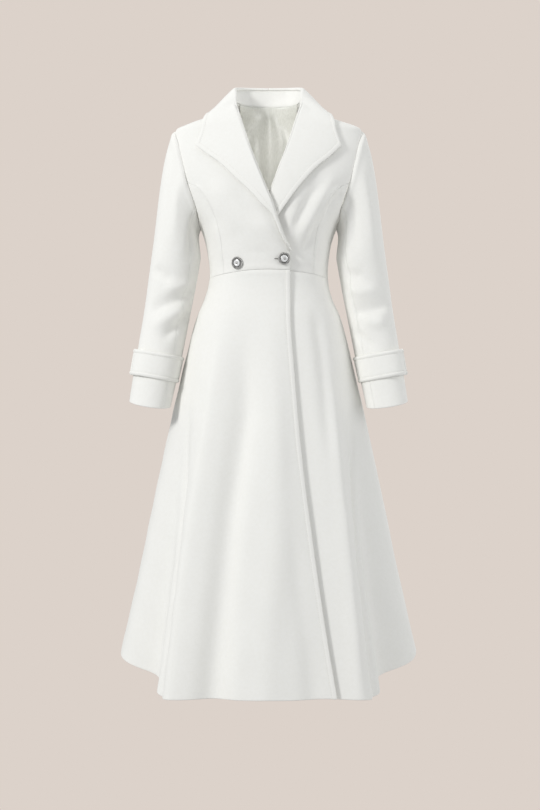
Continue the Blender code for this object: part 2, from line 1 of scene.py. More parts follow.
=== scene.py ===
import math
import bpy
import numpy as np
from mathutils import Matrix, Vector


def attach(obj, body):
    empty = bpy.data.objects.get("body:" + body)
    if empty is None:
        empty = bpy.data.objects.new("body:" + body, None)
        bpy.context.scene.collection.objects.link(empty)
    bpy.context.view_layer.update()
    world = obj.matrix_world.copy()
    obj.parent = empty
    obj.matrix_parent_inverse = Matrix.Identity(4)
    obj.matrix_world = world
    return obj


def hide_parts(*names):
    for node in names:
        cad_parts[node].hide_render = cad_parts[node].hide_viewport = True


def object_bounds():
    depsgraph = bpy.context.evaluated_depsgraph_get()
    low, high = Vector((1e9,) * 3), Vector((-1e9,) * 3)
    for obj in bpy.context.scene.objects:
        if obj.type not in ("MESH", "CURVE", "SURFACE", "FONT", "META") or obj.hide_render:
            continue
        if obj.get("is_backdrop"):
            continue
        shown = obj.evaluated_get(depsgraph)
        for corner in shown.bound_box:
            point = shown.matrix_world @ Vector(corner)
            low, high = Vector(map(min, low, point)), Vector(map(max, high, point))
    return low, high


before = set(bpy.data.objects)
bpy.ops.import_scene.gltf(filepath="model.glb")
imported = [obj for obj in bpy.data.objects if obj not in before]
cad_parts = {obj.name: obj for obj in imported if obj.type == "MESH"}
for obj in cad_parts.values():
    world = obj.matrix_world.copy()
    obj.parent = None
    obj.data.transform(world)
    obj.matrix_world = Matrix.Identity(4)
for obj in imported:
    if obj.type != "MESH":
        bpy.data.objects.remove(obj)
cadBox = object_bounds()

# sizes in metres that several pieces share
cloth = {"wool": 0.003, "satin": 0.001, "strap": 0.0035, "seamGap": 0.0003, "strapGap": 0.0006}
seamLook = {"drop": 0.0006, "wide": 0.0015, "ridge": 0.0006, "ridgeAt": 0.0070, "ridgeWide": 0.0050,
            "lightShare": 0.25, "lightGapPart": 6, "mostBack": 0.45}
edgeLook = {"puff": 0.0008, "puffAt": 0.0040, "puffWide": 0.0036, "groove": 0.0008, "grooveAt": 0.0085,
            "grooveWide": 0.0011, "innerShare": 0.5}
meshStep = {"fine": 0.0014, "band": 0.0125, "coarse": 0.0050}
foldFade = 0.35  # share of a fold's length over which it fades at each end
tiny = 1e-12

# the coat's form: height, half width, front depth, back depth
bodyRings = (
    (0.012, 0.066, 0.030, 0.064),
    (0.000, 0.080, 0.036, 0.068),
    (-0.020, 0.126, 0.046, 0.077),
    (-0.047, 0.189, 0.060, 0.088),
    (-0.096, 0.196, 0.086, 0.102),
    (-0.136, 0.193, 0.104, 0.108),
    (-0.170, 0.183, 0.115, 0.110),
    (-0.213, 0.158, 0.123, 0.109),
    (-0.250, 0.137, 0.124, 0.106),
    (-0.295, 0.125, 0.118, 0.099),
    (-0.341, 0.120, 0.112, 0.094),
    (-0.365, 0.1225, 0.113, 0.097),
    (-0.394, 0.131, 0.117, 0.105),
    (-0.426, 0.145, 0.124, 0.115),
    (-0.476, 0.159, 0.134, 0.128),
    (-0.574, 0.183, 0.151, 0.150),
    (-0.689, 0.209, 0.172, 0.174),
    (-0.820, 0.237, 0.195, 0.198),
    (-0.951, 0.264, 0.217, 0.222),
    (-1.082, 0.294, 0.238, 0.244),
    (-1.175, 0.315, 0.253, 0.259),
)

# skirt folds: degrees from centre front, reach at the hem, spread in degrees
flutes = (
    (20.0, -0.012, 8.0),
    (38.0, 0.006, 8.0),
    (60.0, -0.056, 12.0),
    (98.0, 0.002, 14.0),
    (130.0, -0.030, 11.0),
    (155.0, 0.010, 10.0),
    (180.0, -0.020, 10.0),
)
fluteGrowth = {"start": -0.44, "end": -1.165, "power": 1.3}

# hem: degrees from centre front, height
hemLine = (
    (0.0, -1.164),
    (20.0, -1.166),
    (40.0, -1.172),
    (52.0, -1.159),
    (66.0, -1.138),
    (82.0, -1.118),
    (98.0, -1.108),
    (130.0, -1.130),
    (155.0, -1.128),
    (180.0, -1.138),
)

# front edge of the skirt: height, reach past the centre front
frontEdge = (
    (-0.300, 0.0424),
    (-0.420, 0.0425),
    (-0.560, 0.0516),
    (-0.715, 0.0663),
    (-0.866, 0.0867),
    (-1.016, 0.1090),
    (-1.175, 0.1355),
)

# front edge and roll line, the lapel's outer edge, and how much lower that is on the left:
# across, height, across, height, drop
frontLine = (
    (-0.0424, -0.341, -0.0424, -0.341, 0.0),
    (-0.0424, -0.322, -0.0424, -0.322, 0.0),
    (-0.0413, -0.304, -0.0393, -0.300, 0.0),
    (-0.0263, -0.273, -0.0215, -0.267, 0.0),
    (-0.0127, -0.2356, -0.0060, -0.232, 0.0),
    (-0.0045, -0.2105, 0.0110, -0.215, 0.031),
    (0.0060, -0.185, 0.0290, -0.194, 0.025),
    (0.0235, -0.140, 0.0602, -0.163, 0.012),
    (0.0380, -0.100, 0.0943, -0.129, 0.007),
    (0.0452, -0.078, 0.1200, -0.1085, 0.005),
    (0.0518, -0.056, 0.1433, -0.089, 0.0),
    (0.0620, -0.022, 0.1335, -0.056, 0.0),
    (0.0680, 0.000, 0.1290, -0.030, 0.0),
    (0.0660, 0.012, 0.0660, 0.012, 0.0),
)
neckHeight = 0.012

# princess seam from the waist up, then the armhole from the underarm up: across, height
princessLine = (
    (0.091, -0.349),
    (0.095, -0.275),
    (0.107, -0.232),
    (0.117, -0.206),
    (0.130, -0.186),
    (0.144, -0.172),
)
armholeLine = (
    (0.137, -0.250),
    (0.146, -0.2134),
    (0.160, -0.172),
    (0.168, -0.1445),
    (0.177, -0.103),
    (0.184, -0.075),
    (0.189, -0.047),
)
armholeParts = {"lower": 5, "upper": 6, "back": 12}
bodicePlan = {"waistFront": -0.341, "sideDrop": 0.011, "princess": 7, "centre": 8, "neck": 6,
              "blade": -0.235, "turnRadius": 0.15}
skirtPlan = {"sideSeamHem": 92.0, "underShare": 0.2, "meetRate": 30.0}
lapPlan = {"lap": 0.0060, "hemLap": 0.0090, "lapelLap": 0.0135, "low": -0.300, "high": -0.245,
           "fade": 0.055}

# sleeve below its head: height, across, forward, half width, half depth
sleeveRings = (
    (-0.305, 0.1890, 0.000, 0.0500, 0.0590),
    (-0.335, 0.1935, 0.000, 0.0495, 0.0580),
    (-0.360, 0.1975, 0.000, 0.0490, 0.0570),
    (-0.385, 0.2015, 0.001, 0.0482, 0.0555),
    (-0.410, 0.2055, 0.003, 0.0474, 0.0540),
    (-0.440, 0.2105, 0.007, 0.0467, 0.0525),
    (-0.475, 0.2165, 0.013, 0.0462, 0.0510),
    (-0.505, 0.2215, 0.019, 0.0456, 0.0500),
    (-0.530, 0.2260, 0.025, 0.0450, 0.0490),
    (-0.555, 0.2305, 0.031, 0.0442, 0.0480),
    (-0.580, 0.2350, 0.037, 0.0432, 0.0470),
    (-0.607, 0.2395, 0.044, 0.0422, 0.0460),
)
sleevePlan = {"capRows": 6, "underStart": 8, "underEnd": 17, "pull": 0.9, "droop": 0.06, "droopFrom": 9,
              "headLeave": (0.80, 0.0, -0.60), "headPull": 0.42, "underarmLeave": (0.60, 0.0, -0.80)}

# collar at the back of the neck: across, forward, height of the stand's foot, roll line and fall's edge
collarBack = (
    (0.0000, -0.0640, 0.0125, 0.0000, -0.073, 0.049, 0.000, -0.106, -0.018),
    (0.0330, -0.0554, 0.0125, 0.0340, -0.067, 0.048, 0.054, -0.100, -0.017),
    (0.0572, -0.0320, 0.0125, 0.0580, -0.046, 0.044, 0.096, -0.074, -0.014),
    (0.0660, -0.0020, 0.0132, 0.0700, -0.016, 0.036, 0.119, -0.036, -0.012),
    (0.0640, 0.0030, 0.0135, 0.0695, 0.004, 0.021, 0.126, 0.006, -0.016),
)
collarPlan = {"clearance": 0.0045, "collarStart": 0.0024, "lapelStart": 0.0006, "fold": 0.0026,
              "crown": 0.0035, "crownWidth": 0.075, "pointRow": 2}
lapelPlan = {"right": {"lastRow": 2, "drop": 0.0}, "left": {"lastRow": 5, "drop": 1.0}}


def smoothCurve(keys, values):
    keys = np.asarray(keys, float)
    values = np.asarray(values, float)
    steps = np.diff(keys)
    slopes = np.diff(values) / steps
    tangents = np.concatenate(([slopes[0]], (slopes[1:] + slopes[:-1]) / 2, [slopes[-1]]))
    product = slopes[:-1] * slopes[1:]
    total = np.where(product > 0, slopes[:-1] + slopes[1:], 1.0)
    tangents[1:-1] = np.where(product > 0, 2 * product / total, 0.0)

    def value(key):
        key = np.asarray(key, float)
        i = np.clip(np.searchsorted(keys, key) - 1, 0, len(steps) - 1)
        t = np.clip((key - keys[i]) / steps[i], 0.0, 1.0)
        rise = values[i] * (1 + 2 * t) * (1 - t) ** 2 + values[i + 1] * t * t * (3 - 2 * t)
        return rise + steps[i] * (tangents[i] * t * (1 - t) ** 2 + tangents[i + 1] * t * t * (t - 1))

    return value


def tableCurve(rows, column):
    ordered = sorted(rows)
    return smoothCurve([row[0] for row in ordered], [row[column] for row in ordered])


halfWidth = tableCurve(bodyRings, 1)
frontDepth = tableCurve(bodyRings, 2)
backDepth = tableCurve(bodyRings, 3)
hemHeight = tableCurve(hemLine, 1)
overReach = tableCurve(frontEdge, 1)
rollAcross = tableCurve([(row[1], row[0]) for row in frontLine], 1)


def ease(share):
    share = np.clip(share, 0.0, 1.0)
    return share * share * (3 - 2 * share)


def unit(vectors):
    return vectors / np.maximum(np.linalg.norm(vectors, axis=-1, keepdims=True), tiny)


def bump(value, middle, wide):
    return np.exp(-((value - middle) / wide) ** 2)


def fluteReach(angle, height):
    grow = np.maximum((fluteGrowth["start"] - height) / (fluteGrowth["start"] - fluteGrowth["end"]), 0.0)
    degrees = np.abs(np.degrees(angle))
    return grow ** fluteGrowth["power"] * sum(reach * bump(degrees, at, wide) for at, reach, wide in flutes)


def body(angle, height):
    depth = np.where(np.cos(angle) > 0, frontDepth(height), backDepth(height))
    across = halfWidth(height) * np.sin(angle)
    forward = depth * np.cos(angle)
    spread = 1 + fluteReach(angle, height) / np.hypot(across, forward)
    return np.stack((across * spread, -forward * spread, height + 0 * across), axis=-1)


def bodyNormal(angle, height):
    step = 0.002
    around = body(angle + step, height) - body(angle - step, height)
    up = body(angle, height + step) - body(angle, height - step)
    return unit(np.cross(around, up))


def surface(angle, height, out=0.0):
    return body(angle, height) + bodyNormal(angle, height) * np.asarray(out)[..., None]


def frontAngle(across, height):
    return np.arcsin(np.clip(across / halfWidth(height), -1.0, 1.0))


def waistHeight(angle):
    return bodicePlan["waistFront"] - bodicePlan["sideDrop"] * np.sin(angle) ** 2


def noInset(angle, height):
    return 0.0 * angle


def underInset(angle, height):
    low, high = lapPlan["low"], lapPlan["high"]
    depth = lapPlan["lap"] + (lapPlan["lapelLap"] - lapPlan["lap"]) * ease((height - low) / (high - low))
    depth = depth + (lapPlan["hemLap"] - lapPlan["lap"]) * ease((low - height) / (low - fluteGrowth["end"]))
    edge = np.where(height < low, overReach(height), -rollAcross(height))
    across = halfWidth(height) * np.sin(angle)
    return depth * (1 - ease((across - edge) / lapPlan["fade"]))


# edges of the panels are functions of a share from 0 to 1 that give (angle, height)
def curve(points):
    points = np.asarray(points, float)
    lengths = np.hypot(np.diff(points[:, 0]) * bodicePlan["turnRadius"], np.diff(points[:, 1]))
    along = np.concatenate(([0.0], np.cumsum(lengths)))
    angleAt = smoothCurve(along, points[:, 0])
    heightAt = smoothCurve(along, points[:, 1])
    return lambda share: np.stack((angleAt(share * along[-1]), heightAt(share * along[-1])), axis=-1)


def joined(*stretches):
    stops = np.cumsum([0] + [count for edge, count in stretches])

    def value(share):
        place = np.asarray(share, float) * stops[-1]
        result = stretches[0][0](np.clip(place / stretches[0][1], 0, 1))
        for (edge, count), start in zip(stretches[1:], stops[1:-1]):
            later = edge(np.clip((place - start) / count, 0, 1))
            result = np.where((place > start)[:, None], later, result)
        return result

    return value


def onFront(table):
    return [(float(frontAngle(across, height)), height) for across, height in table]


def stretch(edge, start, end):
    return lambda share: edge(start + (end - start) * np.asarray(share, float))


def pointOn(edge, share):
    return edge(np.array([share]))[0]


# places from 0 to 1, close together near both ends, where the edges are shaped
def shares(length):
    fine, band, coarse = meshStep["fine"], meshStep["band"], meshStep["coarse"]
    near = np.arange(0.0, min(band, length / 3), fine)
    middle = np.linspace(near[-1] + fine, length - near[-1] - fine, max(int(length / coarse), 3))
    return np.concatenate((near, middle, (length - near)[::-1])) / length


# a panel's places between its four edges
def fill(left, right, first, last, across, along):
    leftPoints, rightPoints = left(along), right(along)
    firstPoints, lastPoints = first(across), last(across)
    along = along[:, None, None]
    across = across[None, :, None]
    sideways = (1 - across) * leftPoints[:, None] + across * rightPoints[:, None]
    lengthways = (1 - along) * firstPoints[None] + along * lastPoints[None]
    near = (1 - across) * firstPoints[0] + across * firstPoints[-1]
    far = (1 - across) * lastPoints[0] + across * lastPoints[-1]
    return sideways + lengthways - (1 - along) * near - along * far


def gridNormals(grid):
    return unit(np.cross(np.gradient(grid, axis=1), np.gradient(grid, axis=0)))


def stepLengths(points, axis):
    return np.linalg.norm(np.diff(points, axis=axis), axis=2)


def edgeDistances(points):
    across = np.cumsum(stepLengths(points, 1), axis=1)
    across = np.concatenate((np.zeros((len(points), 1)), across), axis=1)
    along = np.cumsum(stepLengths(points, 0), axis=0)
    along = np.concatenate((np.zeros((1, points.shape[1])), along), axis=0)
    return {"start": across, "end": across[:, -1:] - across, "first": along, "last": along[-1:] - along}


# soft folds laid on a surface: a path of places, how far it rises, how wide, how much steeper one side is
def strokeRise(places, folds):
    total = np.zeros(places.shape[:-1])
    for fold in folds:
        path = np.asarray(fold["path"], float)
        best = np.full(total.shape, np.inf)
        signed = np.zeros(total.shape)
        along = np.zeros(total.shape)
        lengths = np.linalg.norm(np.diff(path, axis=0), axis=1)
        starts = np.concatenate(([0.0], np.cumsum(lengths)))
        for i in range(len(lengths)):
            way = (path[i + 1] - path[i]) / lengths[i]
            off = places - path[i]
            t = np.clip(off @ way, 0.0, lengths[i])
            rest = off - t[..., None] * way
            distance = np.linalg.norm(rest, axis=-1)
            closer = distance < best
            best = np.where(closer, distance, best)
            turn = way[0] * off[..., 1] - way[1] * off[..., 0]
            signed = np.where(closer, np.sign(turn) * distance, signed)
            along = np.where(closer, (starts[i] + t) / starts[-1], along)
        steep = fold.get("steep", 1.0)
        wide = fold["wide"] * np.where(signed > 0, steep, 1 / steep)
        fadeIn, fadeOut = fold.get("fadeIn", foldFade), fold.get("fadeOut", foldFade)
        fade = ease(along / fadeIn) * ease((1 - along) / fadeOut)
        total += fold["rise"] * fade * bump(best, 0.0, wide)
    return total


# kinds of edge: free and bare ones are rounded and a free one is stitched too, a seam dips between ridges,
# a light seam dips less, and a plain edge stays flat
def edgeKinds(kind, **others):
    return {**dict.fromkeys(("first", "last", "start", "end"), kind), **others}


# both faces of a wall from its outer surface
def wallPoints(base, normals, thickness, edges, look=edgeLook, waistFade=1.0):
    points = base.copy()
    seam = cloth["seamGap"] / 2
    back = {"free": thickness / 2, "bare": thickness / 2, "seam": seam, "plain": seam,
            "light": cloth["seamGap"] / seamLook["lightGapPart"]}
    inwards = {"first": points, "last": points[::-1], "start": points.transpose(1, 0, 2),
               "end": points.transpose(1, 0, 2)[::-1]}
    for name, rows in inwards.items():
        step = rows[1] - rows[0]
        most = np.linalg.norm(step, axis=1, keepdims=True) * seamLook["mostBack"]
        rows[0] += unit(step) * np.minimum(back[edges[name]], most)
    distances = edgeDistances(points)
    outer = np.zeros(points.shape[:2])
    inner = np.zeros(points.shape[:2])
    for name, kind in edges.items():
        away = distances[name]
        if kind in ("seam", "light"):
            strength = 1.0 if kind == "seam" else seamLook["lightShare"]
            strength = strength * (waistFade if name == "first" else 1.0)
            outer -= strength * seamLook["drop"] * bump(away, 0.0, seamLook["wide"])
            outer += strength * seamLook["ridge"] * bump(away, seamLook["ridgeAt"], seamLook["ridgeWide"])
        if kind == "free":
            swell = look["puff"] * bump(away, look["puffAt"], look["puffWide"])
            groove = look["groove"] * bump(away, look["grooveAt"], look["grooveWide"])
            outer += swell - groove
            inner += swell * look["innerShare"]
    outerPoints = points + normals * outer[..., None]
    innerPoints = points - normals * (thickness + inner)[..., None]
    return outerPoints, innerPoints


def meshObject(name, points, faces, material):
    mesh = bpy.data.meshes.new(name)
    mesh.from_pydata(points.tolist(), [], faces)
    mesh.materials.append(material)
    mesh.polygons.foreach_set("use_smooth", [True] * len(mesh.polygons))
    mesh.update()
    piece = bpy.data.objects.new(name, mesh)
    bpy.context.scene.collection.objects.link(piece)
    return piece


# one piece of several small meshes, each with its material's place in the list
def stackedPiece(name, stacks, side, materials):
    points, faces, kinds = [], [], []
    start = 0
    for (stackPoints, stackFaces), kind in stacks:
        points.append(stackPoints)
        faces += [[start + i for i in face][::side] for face in stackFaces]
        kinds += [kind] * len(stackFaces)
        start += len(stackPoints)
    piece = meshObject(name, np.concatenate(points) * (side, 1.0, 1.0), faces, materials[0])
    for material in materials[1:]:
        piece.data.materials.append(material)
    piece.data.polygons.foreach_set("material_index", kinds)
    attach(piece, "root")
    return piece


def wallFaces(outerIndex, innerIndex, rimIndex, loop):
    quads = []
    for layer, flip in ((outerIndex, False), (innerIndex, True)):
        a, b, c, d = layer[:-1, :-1], layer[:-1, 1:], layer[1:, 1:], layer[1:, :-1]
        quads.append(np.stack((a, d, c, b) if flip else (a, b, c, d), axis=-1).reshape(-1, 4))
    layers = [outerIndex[loop[:, 0], loop[:, 1]]] + list(rimIndex) + [innerIndex[loop[:, 0], loop[:, 1]]]
    for here, after in zip(layers[:-1], layers[1:]):
        quads.append(np.stack((here, after, np.roll(after, -1), np.roll(here, -1)), axis=-1))
    return np.concatenate(quads)


def makeWall(name, outer, inner, edges, material, side, rimSteps=4):
    rows, columns = outer.shape[:2]
    count = rows * columns
    loop = [(0, c) for c in range(columns - 1)] + [(r, columns - 1) for r in range(rows - 1)]
    loop += [(rows - 1, c) for c in range(columns - 1, 0, -1)] + [(r, 0) for r in range(rows - 1, 0, -1)]
    loop = np.array(loop)
    outward = np.zeros_like(outer)
    borders = (("first", np.s_[0, :], np.s_[1, :]), ("last", np.s_[-1, :], np.s_[-2, :]),
               ("start", np.s_[:, 0], np.s_[:, 1]), ("end", np.s_[:, -1], np.s_[:, -2]))
    for edge, border, beside in borders:
        if edges[edge] in ("free", "bare"):
            outward[border] += unit(outer[border] - outer[beside])
    outerRim = outer[loop[:, 0], loop[:, 1]]
    innerRim = inner[loop[:, 0], loop[:, 1]]
    bulge = outward[loop[:, 0], loop[:, 1]]
    lengths = np.linalg.norm(bulge, axis=1, keepdims=True)
    bulge = bulge / np.maximum(lengths, 1.0)
    middle = (outerRim + innerRim) / 2
    half = (outerRim - innerRim) / 2
    size = np.linalg.norm(half, axis=1, keepdims=True)
    rim = []
    for step in range(1, rimSteps):
        turn = math.pi * step / rimSteps
        rim.append(middle + half * math.cos(turn) + bulge * size * math.sin(turn))
    points = np.concatenate([outer.reshape(-1, 3), inner.reshape(-1, 3)] + rim)
    points = points * (side, 1.0, 1.0)
    outerIndex = np.arange(count).reshape(rows, columns)
    rimIndex = [2 * count + np.arange(len(loop)) + len(loop) * i for i in range(rimSteps - 1)]
    faces = wallFaces(outerIndex, outerIndex + count, rimIndex, loop)
    corners = points[faces]
    volume = np.einsum("ij,ij->i", corners[:, 0], np.cross(corners[:, 1], corners[:, 2])).sum()
    volume += np.einsum("ij,ij->i", corners[:, 0], np.cross(corners[:, 2], corners[:, 3])).sum()
    if volume < 0:
        faces = faces[:, ::-1]
    return meshObject(name, points, faces.tolist(), material)


def declare(piece, node):
    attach(piece, "root")
    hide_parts(node)
    return piece


def newGroup(name, inputs, outputs):
    group = bpy.data.node_groups.new(name, "ShaderNodeTree")
    for way, words in (("INPUT", inputs), ("OUTPUT", outputs)):
        for word in words:
            group.interface.new_socket(word, in_out=way, socket_type="NodeSocketFloat")
    return group, group.nodes, group.links


# shared effect: uneven felt, as a colour mask and a height
def makeFeltGroup():
    group, nodes, links = newGroup("feltSurface", ("Fibre Scale", "Mottle Scale"), ("Mottle", "Height"))
    start = nodes.new("NodeGroupInput")
    end = nodes.new("NodeGroupOutput")
    place = nodes.new("ShaderNodeTexCoord")
    fibre = nodes.new("ShaderNodeTexNoise")
    fibre.inputs["Detail"].default_value = 6.0
    fibre.inputs["Roughness"].default_value = 0.7
    mottle = nodes.new("ShaderNodeTexNoise")
    mottle.inputs["Detail"].default_value = 3.0
    links.new(place.outputs["Object"], fibre.inputs["Vector"])
    links.new(place.outputs["Object"], mottle.inputs["Vector"])
    links.new(start.outputs["Fibre Scale"], fibre.inputs["Scale"])
    links.new(start.outputs["Mottle Scale"], mottle.inputs["Scale"])
    links.new(mottle.outputs["Fac"], end.inputs["Mottle"])
    links.new(fibre.outputs["Fac"], end.inputs["Height"])
    return group


# fine weave of the satin, lengthways streaks
def makeStreakGroup():
    group, nodes, links = newGroup("satinStreaks", ("Streak Scale",), ("Streak",))
    start = nodes.new("NodeGroupInput")
    end = nodes.new("NodeGroupOutput")
    place = nodes.new("ShaderNodeTexCoord")
    squeeze = nodes.new("ShaderNodeMapping")
    squeeze.inputs["Scale"].default_value = (1.0, 1.0, 0.06)
    noise = nodes.new("ShaderNodeTexNoise")
    noise.inputs["Detail"].default_value = 4.0
    links.new(place.outputs["Object"], squeeze.inputs["Vector"])
    links.new(squeeze.outputs["Vector"], noise.inputs["Vector"])
    links.new(start.outputs["Streak Scale"], noise.inputs["Scale"])
    links.new(noise.outputs["Fac"], end.inputs["Streak"])
    return group


feltGroup = makeFeltGroup()
streakGroup = makeStreakGroup()


def newMaterial(name):
    material = bpy.data.materials.new(name)
    material.use_nodes = True
    nodes = material.node_tree.nodes
    return material, nodes, material.node_tree.links, nodes["Principled BSDF"]


def setInputs(node, values):
    for socket, value in values.items():
        node.inputs[socket].default_value = value


def placeGroup(nodes, group, values):
    placed = nodes.new("ShaderNodeGroup")
    placed.node_tree = group
    setInputs(placed, values)
    return placed


def colourFrom(nodes, links, shader, mask, look, low=0.3, high=0.7):
    ramp = nodes.new("ShaderNodeValToRGB")
    for element, place, colour in zip(ramp.color_ramp.elements, (low, high), (look["dark"], look["light"])):
        element.position = place
        element.color = (*colour, 1.0)
    links.new(mask, ramp.inputs["Fac"])
    links.new(ramp.outputs["Color"], shader.inputs["Base Color"])


def reliefFrom(nodes, links, shader, height, look):
    relief = nodes.new("ShaderNodeBump")
    setInputs(relief, {"Strength": look["bump"], "Distance": look["bumpDepth"]})
    links.new(height, relief.inputs["Height"])
    links.new(relief.outputs["Normal"], shader.inputs["Normal"])


woolLook = {"light": (0.872, 0.866, 0.832), "dark": (0.854, 0.847, 0.808), "fibreScale": 1100.0,
            "mottleScale": 160.0, "bump": 0.22, "bumpDepth": 0.0006}
threadLook = {"light": (0.82, 0.81, 0.77), "dark": (0.78, 0.77, 0.72), "fibreScale": 2600.0,
              "mottleScale": 300.0, "bump": 0.3, "bumpDepth": 0.0003}
# dark wool for the buttonhole's slit: painted shade standing for the shadow inside the opening
slitShadeLook = {**threadLook, "light": (0.11, 0.106, 0.098), "dark": (0.06, 0.058, 0.053)}
woolFinish = {"Roughness": 0.92, "Specular IOR Level": 0.25, "Sheen Weight": 0.16, "Sheen Roughness": 0.45,
              "Sheen Tint": (1.0, 0.99, 0.96, 1.0)}


def makeWool(name, look):
    material, nodes, links, shader = newMaterial(name)
    felt = placeGroup(nodes, feltGroup, {"Fibre Scale": look["fibreScale"],
                                         "Mottle Scale": look["mottleScale"]})
    colourFrom(nodes, links, shader, felt.outputs["Mottle"], look)
    reliefFrom(nodes, links, shader, felt.outputs["Height"], look)
    setInputs(shader, woolFinish)
    return material


wool = makeWool("ivoryWool", woolLook)
thread = makeWool("ivoryThread", threadLook)
slitShadeWool = makeWool("slitShade", slitShadeLook)

satinLook = {"light": (0.80, 0.800, 0.745), "dark": (0.70, 0.700, 0.640), "streakScale": 420.0,
             "bump": 0.12, "bumpDepth": 0.0003}
satinFinish = {"Roughness": 0.36, "Specular IOR Level": 0.5}


def makeSatin(look):
    material, nodes, links, shader = newMaterial("paleSatin")
    streak = placeGroup(nodes, streakGroup, {"Streak Scale": look["streakScale"]}).outputs["Streak"]
    colourFrom(nodes, links, shader, streak, look)
    reliefFrom(nodes, links, shader, streak, look)
    setInputs(shader, satinFinish)
    return material


satin = makeSatin(satinLook)

silverLook = {"dark": (0.34, 0.335, 0.325), "light": (0.66, 0.65, 0.63), "mottleScale": 900.0,
              "finish": {"Metallic": 1.0, "Roughness": 0.36}}
tarnishLook = {"dark": (0.035, 0.033, 0.030), "light": (0.10, 0.095, 0.085), "mottleScale": 700.0,
               "finish": {"Metallic": 1.0, "Roughness": 0.5}}
brightLook = {"dark": (0.84, 0.84, 0.83), "light": (0.92, 0.92, 0.91), "mottleScale": 300.0,
              "finish": {"Metallic": 0.25, "Roughness": 0.22, "Coat Weight": 0.6}}


def makeMetal(name, look):
    material, nodes, links, shader = newMaterial(name)
    felt = placeGroup(nodes, feltGroup, {"Mottle Scale": look["mottleScale"]})
    colourFrom(nodes, links, shader, felt.outputs["Mottle"], look)
    setInputs(shader, look["finish"])
    return material


silver = makeMetal("antiqueSilver", silverLook)
tarnish = makeMetal("tarnishedGroove", tarnishLook)
bright = makeMetal("brightDome", brightLook)
print("stage materials done")

# stitching: short threads along a line a little in from an edge
stitchLook = {"pitch": 0.0046, "length": 0.0036, "radius": 0.00042, "sides": 6, "step": 0.0008, "lift": 0.2,
              "sink": 0.9, "leastRoom": 3}
stitchProfile = ((-1.0, 0.25), (-0.7, 0.85), (0.0, 1.0), (0.7, 0.85), (1.0, 0.25))  # place along, thickness


def lineAt(values, points, edge, away):
    turn = {"start": lambda a: a, "end": lambda a: a[:, ::-1], "first": lambda a: a.transpose(1, 0, 2),
            "last": lambda a: a[::-1].transpose(1, 0, 2)}[edge]
    values, points = turn(values), turn(points)
    reach = np.cumsum(stepLengths(points, 1), axis=1)
    reach = np.concatenate((np.zeros((len(points), 1)), reach), axis=1)
    kept = reach[:, -1] > away * stitchLook["leastRoom"]
    lines = [[np.interp(away, r, row[:, k]) for k in range(3)] for r, row in zip(reach[kept], values[kept])]
    return np.array(lines)


def threads(centres, along, up, length, radius, sides):
    across = unit(np.cross(up, along))
    spin = np.linspace(0, 2 * math.pi, sides, endpoint=False)
    ring = across[:, None] * np.cos(spin)[:, None] + up[:, None] * np.sin(spin)[:, None]
    points = []
    for place, thick in stitchProfile:
        dip = up * (radius * (stitchLook["lift"] - stitchLook["sink"] * place * place))
        middle = centres + along * (place * length / 2) + dip
        points.append(middle[:, None] + ring * (radius * thick))
    points = np.stack(points, axis=1)
    count, rings = points.shape[:2]
    index = np.arange(count * rings * sides).reshape(count, rings, sides)
    after = np.roll(index, -1, axis=2)
    walls = np.stack((index[:, :-1], after[:, :-1], after[:, 1:], index[:, 1:]), axis=-1).reshape(-1, 4)
    faces = walls.tolist() + index[:, 0, ::-1].tolist() + index[:, -1].tolist()
    return points.reshape(-1, 3), faces


def alongLine(run, values, places):
    return np.stack([np.interp(places, run, values[:, k]) for k in range(3)], axis=-1)


def stitchesOn(name, outer, normals, edges, away, side):
    stacks = []
    for edge in edges:
        line = lineAt(outer, outer, edge, away)
        run = np.concatenate(([0.0], np.cumsum(np.linalg.norm(np.diff(line, axis=0), axis=1))))
        count = max(int(run[-1] / stitchLook["pitch"]), 1)
        middles = (np.arange(count) + 0.5) * run[-1] / count
        step = stitchLook["step"]
        along = unit(alongLine(run, line, middles + step) - alongLine(run, line, middles - step))
        up = unit(alongLine(run, lineAt(normals, outer, edge, away), middles))
        centres = alongLine(run, line, middles)
        row = threads(centres, along, up, stitchLook["length"], stitchLook["radius"], stitchLook["sides"])
        stacks.append((row, 0))
    piece = stackedPiece(name, stacks, side, [thread])
    return piece


# edges of the panels
quarter = math.pi / 2
lowerShare = armholeParts["lower"] / (armholeParts["lower"] + armholeParts["upper"])
armhole = curve(onFront(armholeLine))
armholeUpper = stretch(armhole, lowerShare, 1.0)
armholeFront = stretch(armhole, lowerShare, 0.0)
princessFoot = float(frontAngle(*princessLine[0]))
princessTop = tuple(pointOn(armhole, lowerShare))
princessLow = (princessFoot, float(waistHeight(princessFoot)))
princess = curve([princessLow] + onFront(princessLine[1:]) + [princessTop])
sideSeam = curve([(quarter, float(waistHeight(quarter))), (quarter, armholeLine[0][1])])
shoulder = curve([(quarter, neckHeight), (quarter, armholeLine[-1][1])])
rowIndex = np.arange(len(frontLine))
frontAngles = smoothCurve(rowIndex, [float(frontAngle(row[0], row[1])) for row in frontLine])
frontHeights = smoothCurve(rowIndex, [row[1] for row in frontLine])


def armholeBack(share):
    pairs = armhole(share)
    return np.stack((math.pi - pairs[..., 0], pairs[..., 1]), axis=-1)


def frontLineEdge(share):
    place = np.asarray(share, float) * rowIndex[-1]
    return np.stack((frontAngles(place), frontHeights(place)), axis=-1)


def centreWaist(share):
    share = np.asarray(share, float)
    first = pointOn(frontLineEdge, 0.0)
    angle = first[0] + (princessFoot - first[0]) * share
    settle = (first[1] - waistHeight(first[0])) * (1 - ease(share * bodicePlan["centre"]))
    return np.stack((angle, waistHeight(angle) + settle), axis=-1)


def sideWaist(share):
    angle = princessFoot + (quarter - princessFoot) * np.asarray(share, float)
    return np.stack((angle, waistHeight(angle)), axis=-1)


